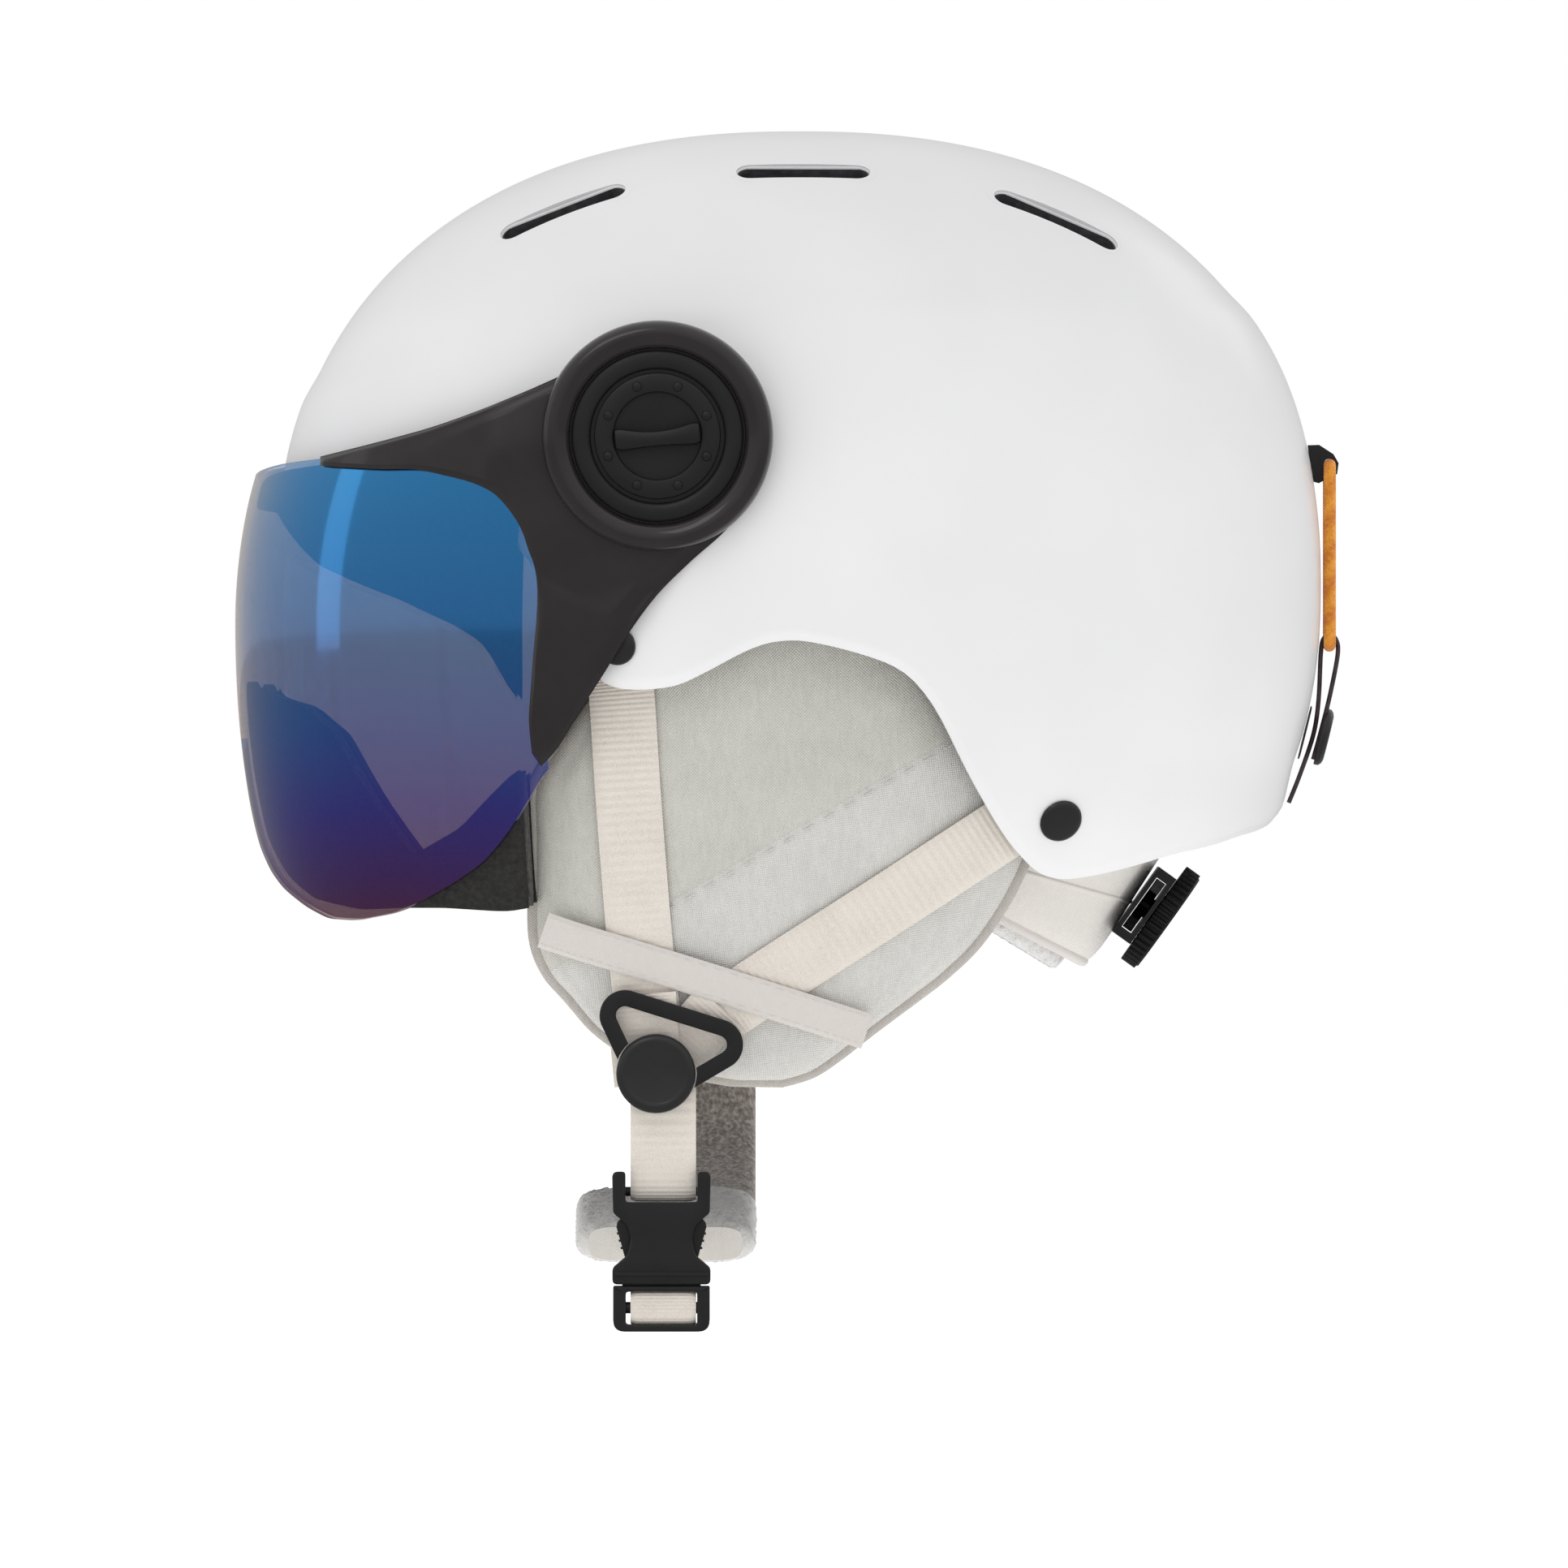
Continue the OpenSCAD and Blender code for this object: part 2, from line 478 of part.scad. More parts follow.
// Shallow dome with a shank: side-view point, radius of the head
module rivet(p, r) {
    y = shell_y(p[0], p[1]);
    g = [p[0] < 0 ? -1 : 1, 1, -1];
    n = [g[0] * pow(abs(p[0]) / shell_a, shell_n - 1) / shell_a,
         pow(y / shell_b, shell_n - 1) / shell_b,
         g[2] * pow(abs(p[1]) / shell_c, shell_n - 1) / shell_c];
    d = n / norm(n);
    translate([p[0], y, p[1]]) rotate([0, acos(d[2]), atan2(d[1], d[0])]) {
        translate([0, 0, 0.3]) cylinder(r = r, h = 0.8);
        translate([0, 0, 1.1]) cylinder(r1 = r, r2 = r * 0.62, h = 1.2);
        translate([0, 0, -shell_wall - 0.2]) cylinder(r = 2, h = shell_wall + 0.6);
    }
}
rivet_front = [-50, -17.6];
rivet_rear = [71.6, -65.3];
module rivets_front() color("#202022") for (s = [0, 1]) mirror([0, s, 0]) rivet(rivet_front, 5.2);
module rivets_rear() color("#202022") for (s = [0, 1]) mirror([0, s, 0]) rivet(rivet_rear, 6.1);

// ---------- nape: neck pad, cradle and fit dial ----------

// Point of the nape surface: azimuth from straight back, 0 at the top to 1 at the bottom
function nape_pt(az, t, inset) =
    [(mix(110, 81, t) - inset) * pow(cos(az), 0.8), (mix(84, 68, t) - inset) * sin(az),
     mix(-60, mix(-105, -86, pow(az / 62, 2)), t)];
module nape_band(az, t0, t1, out_inset, in_inset, nu, nv) slab(
    function (u, v) nape_pt(mix(-az, az, u), mix(t1, t0, v), out_inset),
    function (u, v) nape_pt(mix(-az, az, u), mix(t1, t0, v), in_inset), nu, nv);
module neck_pad() color("whitesmoke") nape_band(59, 0.17, 0.99, 0, 6, 24, 6);
module fit_cradle() color("#3a3a3c") nape_band(56, 0.2, 0.9, 6.4, 7.9, 24, 4);
module neck_fleece() color("white") nape_band(58, 0.16, 1.03, 8.3, 11.3, 24, 6);

module fit_dial_housing() color("#242426") at_dial() difference() {
    translate([-11, -24, -8.4]) cube([22, 48, 6]);
    // Channel for the two racks
    translate([-8.4, -25, -7.2]) cube([16.8, 50, 3.6]);
    translate([0, 0, -5]) cylinder(r = 3 + running_gap, h = 4);
}
module fit_dial_knob() color("#19191a") at_dial() {
    difference() {
        translate([0, 0, -2]) cylinder(r = 15.7, h = 5.2);
        for (i = [0 : 23]) rotate(15 * i) translate([16.3, 0, -3]) cylinder(r = 1.3, h = 9);
        translate([0, 0, 2.2]) cylinder(r = 11, h = 3);
    }
    translate([0, 0, -6.8]) cylinder(r = 3, h = 5.2);
    // Pinion
    translate([0, 0, -6.8]) linear_extrude(2.8) {
        circle(r = 3.8);
        for (i = [0 : teeth - 1]) rotate(360 / teeth * i)
            polygon([[3, -0.9], [3.9, -0.8], [5.7, -0.3], [5.7, 0.3], [3.9, 0.8], [3, 0.9]]);
    }
}
// Rack with its teeth towards the pinion; phase moves the teeth along the rack
rack_len = 30;
tooth_step = 2 * PI * rack_pitch_r / teeth;
module rack(y0) translate([0, 0, -6.7]) linear_extrude(2.6) {
    translate([6.2, y0]) square([1.9, rack_len]);
    for (i = [-9 : 9]) if (i * tooth_step - 2 > y0 && i * tooth_step + 2 < y0 + rack_len)
        translate([0, (i + 0.5) * tooth_step]) polygon([[6.3, -0.95], [6.3, 0.95], [4.4, 0.32], [4.4, -0.32]]);
}
module fit_rack_right() color("#d8d8d8") at_dial() rack(-12);
module fit_rack_left() color("#d8d8d8") at_dial() rotate(180) rack(-12);

// ---------- goggle retainer ----------

module goggle_anchor() color("#1d1c1e") difference() {
    translate([0, 4.2, 0]) rotate([90, 0, 0]) linear_extrude(8.4)
        polygon([[142.1, 28.5], [144, 28], [149, 30.5], [149.4, 33.5], [148, 36], [144, 38.6], [140.9, 38.5]]);
    translate([clip_pivot[0], 0, clip_pivot[1]]) rotate([90, 0, 0])
        cylinder(r = clip_cord_r + running_gap, h = 20, center = true);
}
loop_half = 7.4;
loop_corner = 2.6;
loop_drop = 50;
// Closed loop of elastic cord, drawn with its top edge through the anchor
module goggle_cord() color("orange") translate([clip_pivot[0], 0, clip_pivot[1]]) rotate([0, 90, 0]) {
    for (s = [-1, 1]) {
        translate([0, s * loop_half, 0]) rotate([0, 90, 0]) translate([0, 0, loop_corner])
            cylinder(r = clip_cord_r, h = loop_drop - 2 * loop_corner);
    }
    for (e = [0, 1]) translate([e * loop_drop, 0, 0]) rotate([90, 0, 0])
        cylinder(r = clip_cord_r, h = 2 * (loop_half - loop_corner), center = true);
    for (e = [0, 1]) for (s = [-1, 1])
        translate([e == 0 ? loop_corner : loop_drop - loop_corner, s * (loop_half - loop_corner), 0])
            rotate(s > 0 ? (e == 0 ? 90 : 0) : (e == 0 ? 180 : 270))
            rotate_extrude(angle = 90) translate([loop_corner, 0]) circle(r = clip_cord_r);
}
snap_tilt = 104;
module at_snap() { translate([139.6, 0, -41]) rotate([0, snap_tilt, 0]) children(); }
module goggle_tab() color("#30242a") translate([0, 4.4, 0]) rotate([90, 0, 0]) linear_extrude(8.8) difference() {
    union() {
        translate([clip_pivot[0], -17]) circle(r = 2.9);
        polygon([[144.4, -18], [149.6, -18], [146.2, -33], [144.2, -41], [140.2, -53], [137, -61.2],
                 [134.6, -60.4], [138, -52], [142, -40.4], [143, -33]]);
    }
    translate([clip_pivot[0], -17]) circle(r = clip_cord_r + 0.2);
    polygon([[145.7, -21.5], [148.1, -21.5], [145, -31]]);
}
module goggle_snap_cap() color("#1b1b1d") at_snap() translate([0, 0, 4.9]) {
    cylinder(r = 8, h = 1.4);
    translate([0, 0, 1.4]) cylinder(r1 = 8, r2 = 6.4, h = 1);
}
module goggle_snap_base() color("#1b1b1d") at_snap() {
    translate([0, 0, 0.3]) cylinder(r = 7.6, h = 0.5);
}

// ---------- assembly ----------

shell();
eps_liner();
vent_grilles();
brow_pad();
crown_pad();
side_pad_left();
side_pad_right();
rear_pad();
ear_pad_left();
ear_pad_right();
neck_pad();
fit_cradle();
neck_fleece();
fit_dial_housing();
fit_dial_knob();
fit_rack_left();
fit_rack_right();
hub_base_left();
hub_base_right();
visor_frame_left();
visor_frame_right();
hub_ring_left();
hub_ring_right();
hub_dial_left();
hub_dial_right();
visor_lens();
visor_face_foam();
visor_brow_seal();
rivets_front();
rivets_rear();
strap_front_left();
strap_front_right();
strap_rear_left();
strap_rear_right();
keeper_band_left();
keeper_band_right();
strap_divider_left();
strap_divider_right();
divider_button_left();
divider_button_right();
lower_strap_left();
chin_strap();
chin_strap_end();
chin_pad();
chin_sleeve();
buckle_socket();
buckle_plug();
buckle_arm_front();
buckle_arm_rear();
goggle_anchor();
goggle_cord();
goggle_tab();
goggle_snap_cap();
goggle_snap_base();
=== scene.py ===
"""Snow helmet with a lifting mirrored visor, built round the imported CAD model.

Lengths in the shape functions are millimetres in the helmet's own frame: +Z up, the wearer looks
along -X, the wearer's left is -Y, and the origin is the middle of the head space.
"""
import math

import bmesh
import bpy
from mathutils import Matrix, Vector, noise


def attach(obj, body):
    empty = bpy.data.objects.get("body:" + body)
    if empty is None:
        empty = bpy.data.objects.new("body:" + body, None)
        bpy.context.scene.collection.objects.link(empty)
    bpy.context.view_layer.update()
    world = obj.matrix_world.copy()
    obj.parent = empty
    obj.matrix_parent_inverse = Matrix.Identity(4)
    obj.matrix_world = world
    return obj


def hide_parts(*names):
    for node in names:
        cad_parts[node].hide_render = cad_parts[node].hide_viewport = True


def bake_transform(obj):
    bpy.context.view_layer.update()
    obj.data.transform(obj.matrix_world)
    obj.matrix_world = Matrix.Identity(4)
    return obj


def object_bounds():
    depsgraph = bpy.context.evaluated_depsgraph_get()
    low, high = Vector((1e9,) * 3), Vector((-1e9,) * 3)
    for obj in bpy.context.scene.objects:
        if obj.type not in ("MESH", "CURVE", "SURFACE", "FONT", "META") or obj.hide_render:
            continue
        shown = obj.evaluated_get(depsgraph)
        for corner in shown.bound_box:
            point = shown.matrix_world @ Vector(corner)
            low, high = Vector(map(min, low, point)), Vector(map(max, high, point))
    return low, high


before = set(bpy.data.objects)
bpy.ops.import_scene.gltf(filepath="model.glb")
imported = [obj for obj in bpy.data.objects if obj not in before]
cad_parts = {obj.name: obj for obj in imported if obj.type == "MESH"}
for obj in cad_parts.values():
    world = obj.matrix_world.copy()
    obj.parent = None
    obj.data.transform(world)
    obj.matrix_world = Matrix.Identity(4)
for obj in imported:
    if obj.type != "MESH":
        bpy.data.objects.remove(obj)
CAD_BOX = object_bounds()
MM = 0.001
LEFT, RIGHT = -1, 1       # the wearer's left and right
SIDES = {"left": LEFT, "right": RIGHT}

# ---------------------------------------------------------------- camera, floor and lights

FRAME_WIDTH = 0.4347      # width of the picture at the helmet, in metres
FRAME_CENTRE = (-0.0043, 0.0, -0.0554)
CAMERA_DISTANCE = 10.0
SENSOR = 36.0
FLOOR_GAP = 0.1           # floor below the lowest point of the helmet, in metres


def make_camera():
    data = bpy.data.cameras.new("camera")
    data.sensor_width = SENSOR
    data.lens = SENSOR * CAMERA_DISTANCE / FRAME_WIDTH
    data.clip_end = 60
    cam = bpy.data.objects.new("camera", data)
    cam.location = (FRAME_CENTRE[0], -CAMERA_DISTANCE, FRAME_CENTRE[2])
    cam.rotation_euler = (math.pi / 2, 0, 0)
    bpy.context.scene.collection.objects.link(cam)
    bpy.context.scene.camera = cam


def area_light(name, where, towards, size, watts):
    data = bpy.data.lights.new(name, "AREA")
    data.shape = "RECTANGLE"
    data.size, data.size_y = size
    data.energy = watts
    lamp = bpy.data.objects.new(name, data)
    lamp.location = where
    lamp.rotation_euler = (Vector(towards) - Vector(where)).to_track_quat("-Z", "Y").to_euler()
    bpy.context.scene.collection.objects.link(lamp)


def link_all(tree, *pairs):
    for a, b in pairs:
        tree.links.new(a, b)


def make_floor():
    """White floor that shows darker in the helmet's own gloss than it looks to the camera."""
    bpy.ops.mesh.primitive_plane_add(size=60, location=(0, 0, CAD_BOX[0][2] - FLOOR_GAP))
    floor = bpy.context.object
    floor.name = "floor"
    mat = bpy.data.materials.new("floor")
    mat.use_nodes = True
    nodes = mat.node_tree.nodes
    shader = nodes["Principled BSDF"]
    shader.inputs["Base Color"].default_value = (0.95, 0.95, 0.95, 1)
    shader.inputs["Roughness"].default_value = 0.9
    shader.inputs["Emission Color"].default_value = (1, 1, 1, 1)
    shader.inputs["Emission Strength"].default_value = 0.5
    dim, choose = nodes.new("ShaderNodeEmission"), nodes.new("ShaderNodeMixShader")
    ray = nodes.new("ShaderNodeLightPath")
    dim.inputs["Strength"].default_value = 0.3
    link_all(mat.node_tree, (ray.outputs["Is Glossy Ray"], choose.inputs[0]),
             (shader.outputs[0], choose.inputs[1]), (dim.outputs[0], choose.inputs[2]),
             (choose.outputs[0], nodes["Material Output"].inputs["Surface"]))
    floor.data.materials.append(mat)


def make_world():
    """White to the camera; the light itself comes from a softer sky, dimmest at the horizon."""
    world = bpy.data.worlds.new("studio")
    world.use_nodes = True
    nodes = world.node_tree.nodes
    back, white = nodes["Background"], nodes.new("ShaderNodeBackground")
    coords, split = nodes.new("ShaderNodeTexCoord"), nodes.new("ShaderNodeSeparateXYZ")
    height, shade = nodes.new("ShaderNodeMapRange"), nodes.new("ShaderNodeValToRGB")
    path, pick = nodes.new("ShaderNodeLightPath"), nodes.new("ShaderNodeMixShader")
    height.inputs["From Min"].default_value = -1
    shade.color_ramp.elements.new(0.5)
    for stop, (at, grey) in zip(shade.color_ramp.elements, ((0.0, 0.7), (0.46, 0.40), (1.0, 1.0))):
        stop.position, stop.color = at, (grey, grey, grey, 1)
    white.inputs["Color"].default_value = (1, 1, 1, 1)
    link_all(world.node_tree, (coords.outputs["Generated"], split.inputs[0]),
             (split.outputs["Z"], height.inputs["Value"]), (height.outputs["Result"], shade.inputs[0]),
             (shade.outputs["Color"], back.inputs["Color"]), (path.outputs["Is Camera Ray"], pick.inputs[0]),
             (back.outputs[0], pick.inputs[1]), (white.outputs[0], pick.inputs[2]),
             (pick.outputs[0], nodes["World Output"].inputs["Surface"]))
    bpy.context.scene.world = world


make_camera()
make_floor()
make_world()
bpy.context.scene.view_settings.view_transform = "Standard"
area_light("key", (-0.7, -1.6, 1.5), (0, 0, 0), (1.1, 0.8), 4.3)
area_light("visor_strip", (-2.4, -0.05, 0.5), (-0.14, 0, 0), (0.5, 1.2), 0.75)
area_light("rim", (0.9, 1.0, 0.8), (0, 0, 0), (0.6, 0.6), 0.6)

# ---------------------------------------------------------------- shape functions


def smooth(a, b, v):
    t = min(1.0, max(0.0, (v - a) / (b - a)))
    return t * t * (3 - 2 * t)


def mix(a, b, t):
    return a + (b - a) * t


def lookup(v, table):
    if v <= table[0][0]:
        return table[0][1]
    for (a, p), (b, q) in zip(table, table[1:]):
        if v <= b:
            return mix(p, q, (v - a) / (b - a))
    return table[-1][1]


def spline(points, u):
    """Point at fraction u of a smooth curve through given points."""
    n = len(points) - 1
    k = min(n - 1, int(u * n))
    t = u * n - k
    p = [points[max(0, k - 1)], points[k], points[k + 1], points[min(n, k + 2)]]
    return [0.5 * (2 * b + (c - a) * t + (2 * a - 5 * b + 4 * c - d) * t * t + (3 * b - 3 * c + d - a) * t ** 3)
            for a, b, c, d in zip(*p)]


SHELL = (144.5, 108.0, 125.5)
SHELL_N = 2.3
SHELL_WALL = 3.0
CAVITY = (108.0, 80.0, 97.0)
CAVITY_N = 2.2


def blurred(at, step):
    """Mean of five near values, heaviest in the middle; at gives the value at an offset."""
    near = [at(k * step) for k in (-2, -1, 0, 1, 2)]
    return (near[0] + 2 * near[1] + 3 * near[2] + 2 * near[3] + near[4]) / 9


def reach(d, s, n):
    """Distance from the origin to a superellipsoid along a direction."""
    return sum(abs(c / h) ** n for c, h in zip(d, s)) ** (-1 / n)


def direction(az, el):
    a, e = math.radians(az), math.radians(el)
    return Vector((math.cos(a) * math.cos(e), math.sin(a) * math.cos(e), math.sin(e)))


def shell_point(az, el, off=0.0):
    d = direction(az, el)
    return d * (reach(d, SHELL, SHELL_N) + off)


def cavity_point(az, el, off=0.0):
    d = direction(az, el)
    return d * (reach(d, CAVITY, CAVITY_N) + off)


def shell_y(x, z):
    return SHELL[1] * max(0.001, 1 - abs(x / SHELL[0]) ** SHELL_N - abs(z / SHELL[2]) ** SHELL_N) ** (1 / SHELL_N)


# Lower edge of the shell seen from the side, from the nape to the brow
RIM = [(133, -65), (120, -69), (102, -74), (83, -80), (73, -82), (67, -81), (63, -78), (57, -71), (51, -61),
       (45, -50), (39, -37), (34, -29.5), (28, -24), (20.5, -21), (10, -18), (0, -16), (-8, -16.5),
       (-15, -19), (-24, -24), (-34, -29), (-44, -30), (-52, -29.5), (-58, -26), (-66, -9), (-76, 8),
       (-88, 19), (-110, 24), (-130, 25.5), (-143, 26)]
RIM_TABLE = []
for i, (x, z) in enumerate(RIM):
    y = 0.0 if i in (0, len(RIM) - 1) else shell_y(x, z)
    RIM_TABLE.append((math.degrees(math.atan2(y, x)), math.degrees(math.atan2(z, math.hypot(x, y)))))


def fold(az):
    """Azimuth as an angle of 0 to 180 degrees from the nape, the same on both sides."""
    a = abs(az) % 360
    return 360 - a if a > 180 else a


def rim_el(az):
    return blurred(lambda step: lookup(fold(az + step), RIM_TABLE), 1.1)


def liner_el(az):
    a = fold(az)
    ear = smooth(38, 52, a) * (1 - smooth(118, 140, a))
    return max(rim_el(az) + 1, mix(rim_el(az) + 1, 6, ear))


# ---------------------------------------------------------------- mesh helpers


def add_mesh(name, points, faces, body, slot, mats, smooth_angle=None, replaces=()):
    """A mesh piece from millimetre points: rides on body, if it has one, and has its materials. slot is not used.
    """
    mesh = bpy.data.meshes.new(name)
    mesh.from_pydata([Vector(p) * MM for p in points], [], faces)
    mesh.update()
    mesh.polygons.foreach_set("use_smooth", [True] * len(mesh.polygons))
    obj = bpy.data.objects.new(name, mesh)
    bpy.context.scene.collection.objects.link(obj)
    for mat in mats if isinstance(mats, (list, tuple)) else [mats]:
        mesh.materials.append(mat)
    if smooth_angle:
        sharpen(obj, smooth_angle)
    if body:
        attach(obj, body)
    if replaces:
        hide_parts(*replaces)
    return obj


def sharpen(obj, angle):
    obj.data.set_sharp_from_angle(angle=math.radians(angle))


def grid_faces(nu, nv, start=0, close_u=False, close_v=False, flip=False):
    """Quads over nu by nv points stored row by row, v running fastest."""
    faces = []
    for i in range(nu if close_u else nu - 1):
        for j in range(nv if close_v else nv - 1):
            a, b = i * nv + j, ((i + 1) % nu) * nv + j
            c, d = ((i + 1) % nu) * nv + (j + 1) % nv, i * nv + (j + 1) % nv
            quad = (a + start, b + start, c + start, d + start)
            faces.append(quad[::-1] if flip else quad)
    return faces


def slab(out, inn, nu, nv):
    """Closed solid between two open grids of nu by nv cells; u, v and the way out are right-handed."""
    points = [out(i / nu, j / nv) for i in range(nu + 1) for j in range(nv + 1)]
    points += [inn(i / nu, j / nv) for i in range(nu + 1) for j in range(nv + 1)]
    m, s = nv + 1, (nu + 1) * (nv + 1)
    faces = grid_faces(nu + 1, m) + grid_faces(nu + 1, m, s, flip=True)
    for i in range(nu):
        a, b = i * m, (i + 1) * m
        faces += [(b, a, s + a, s + b), (a + nv, b + nv, s + b + nv, s + a + nv)]
    for j in range(nv):
        a, b = j, nu * m + j
        faces += [(a, a + 1, s + a + 1, s + a), (b + 1, b, s + b, s + b + 1)]
    return points, faces


def dome(out, inn, nu, nv):
    """Closed wall between two domes that share a lower edge; v runs from the edge up to the pole."""
    points, faces = [], []
    for f in (out, inn):
        points += [f(i / nu, j / nv) for j in range(nv) for i in range(nu)] + [f(0, 1)]
    s = nu * nv + 1
    for j in range(nv - 1):
        for i in range(nu):
            a, b, c, d = j * nu + i, j * nu + (i + 1) % nu, (j + 1) * nu + (i + 1) % nu, (j + 1) * nu + i
            faces += [(a, b, c, d), (s + d, s + c, s + b, s + a)]
    for i in range(nu):
        a, b = i, (i + 1) % nu
        faces.append((b, a, s + a, s + b))
        a, b = a + (nv - 1) * nu, b + (nv - 1) * nu
        faces += [(a, b, s - 1), (s + b, s + a, 2 * s - 1)]
    return points, faces


def loft(rings):
    """Closed tube through rings of points; both ends are closed with fans."""
    n = len(rings[0])
    points = [p for ring in rings for p in ring]
    faces = []
    for i in range(len(rings) - 1):
        for j in range(n):
            k = (j + 1) % n
            faces.append((i * n + j, i * n + k, (i + 1) * n + k, (i + 1) * n + j))
    for start, flip in ((0, True), ((len(rings) - 1) * n, False)):
        points.append(sum((Vector(p) for p in points[start:start + n]), Vector()) / n)
        for j in range(n):
            tri = (start + j, start + (j + 1) % n, len(points) - 1)
            faces.append(tri[::-1] if flip else tri)
    return points, faces


def side_of(shape, side):
    """The shape as it is for the wearer's right, mirrored for the left."""
    points, faces = shape
    if side == RIGHT:
        return points, faces
    return [(p[0], -p[1], p[2]) for p in points], [f[::-1] for f in faces]


def lathe(profile, steps=96):
    """Solid of revolution about +Z; the profile of (radius, height) is closed, and anticlockwise."""
    points = []
    for i in range(steps):
        a = 2 * math.pi * i / steps
        points += [(r * math.cos(a), r * math.sin(a), h) for r, h in profile]
    return points, grid_faces(steps, len(profile), close_u=True, close_v=True)


def placed(shape, matrix):
    points, faces = shape
    return [matrix @ Vector(p) for p in points], faces


def facing_y(shape, x, y, z):
    """Places a shape drawn along +Z so that it runs along +Y from a point."""
    return placed(shape, Matrix.Translation((x, y, z)) @ Matrix.Rotation(-math.pi / 2, 4, "X"))


def joined(*shapes):
    points, faces = [], []
    for p, f in shapes:
        start = len(points)
        points += list(p)
        faces += [tuple(i + start for i in face) for face in f]
    return points, faces


def rounded(points, radius, steps=5):
    """Closed outline with each corner rounded by an arc; a corner may carry its own radius."""
    out = []
    n = len(points)
    for i in range(n):
        p = Vector(points[i][:2])
        r = points[i][2] if len(points[i]) > 2 else radius
        a, b = Vector(points[i - 1][:2]) - p, Vector(points[(i + 1) % n][:2]) - p
        if r <= 0 or a.length < 1e-6 or b.length < 1e-6:
            out.append(p)
            continue
        half = a.angle(b) / 2
        back = min(r / max(0.05, math.tan(half)), a.length * 0.49, b.length * 0.49)
        start, end = p + a.normalized() * back, p + b.normalized() * back
        for k in range(steps + 1):
            t = k / steps
            out.append((1 - t) ** 2 * start + 2 * t * (1 - t) * p + t * t * end)
    return out


def plate(outline, low, high, bevel=0.5, holes=()):
    """Extruded plate with bevelled edges, drawn in XY and thick along Z, as points and faces."""
    bm = bmesh.new()
    edges = []
    for loop in (outline, *holes):
        verts = [bm.verts.new((p[0], p[1], low)) for p in loop]
        edges += [bm.edges.new((verts[i], verts[(i + 1) % len(verts)])) for i in range(len(verts))]
    bmesh.ops.triangle_fill(bm, edges=edges, use_beauty=True, use_dissolve=False, normal=(0, 0, 1))
    grown = bmesh.ops.extrude_face_region(bm, geom=bm.faces[:])
    up = [v for v in grown["geom"] if isinstance(v, bmesh.types.BMVert)]
    bmesh.ops.translate(bm, verts=up, vec=(0, 0, high - low))
    bmesh.ops.recalc_face_normals(bm, faces=bm.faces[:])
    if bevel:
        sharp = [e for e in bm.edges if len(e.link_faces) == 2 and e.calc_face_angle(0) > math.radians(50)
                 and abs(e.verts[0].co.z - e.verts[1].co.z) < 1e-6]
        bmesh.ops.bevel(bm, geom=sharp, offset=bevel, segments=3, affect="EDGES", profile=0.6)
    bm.verts.index_update()
    shape = [v.co.copy() for v in bm.verts], [tuple(v.index for v in f.verts) for f in bm.faces]
    bm.free()
    return shape


# ---------------------------------------------------------------- materials

SEAM_SLOPE, SEAM_X, SEAM_Z = 0.578, 40.5, -43.9      # seam between the ear pad's two panels, in the side view


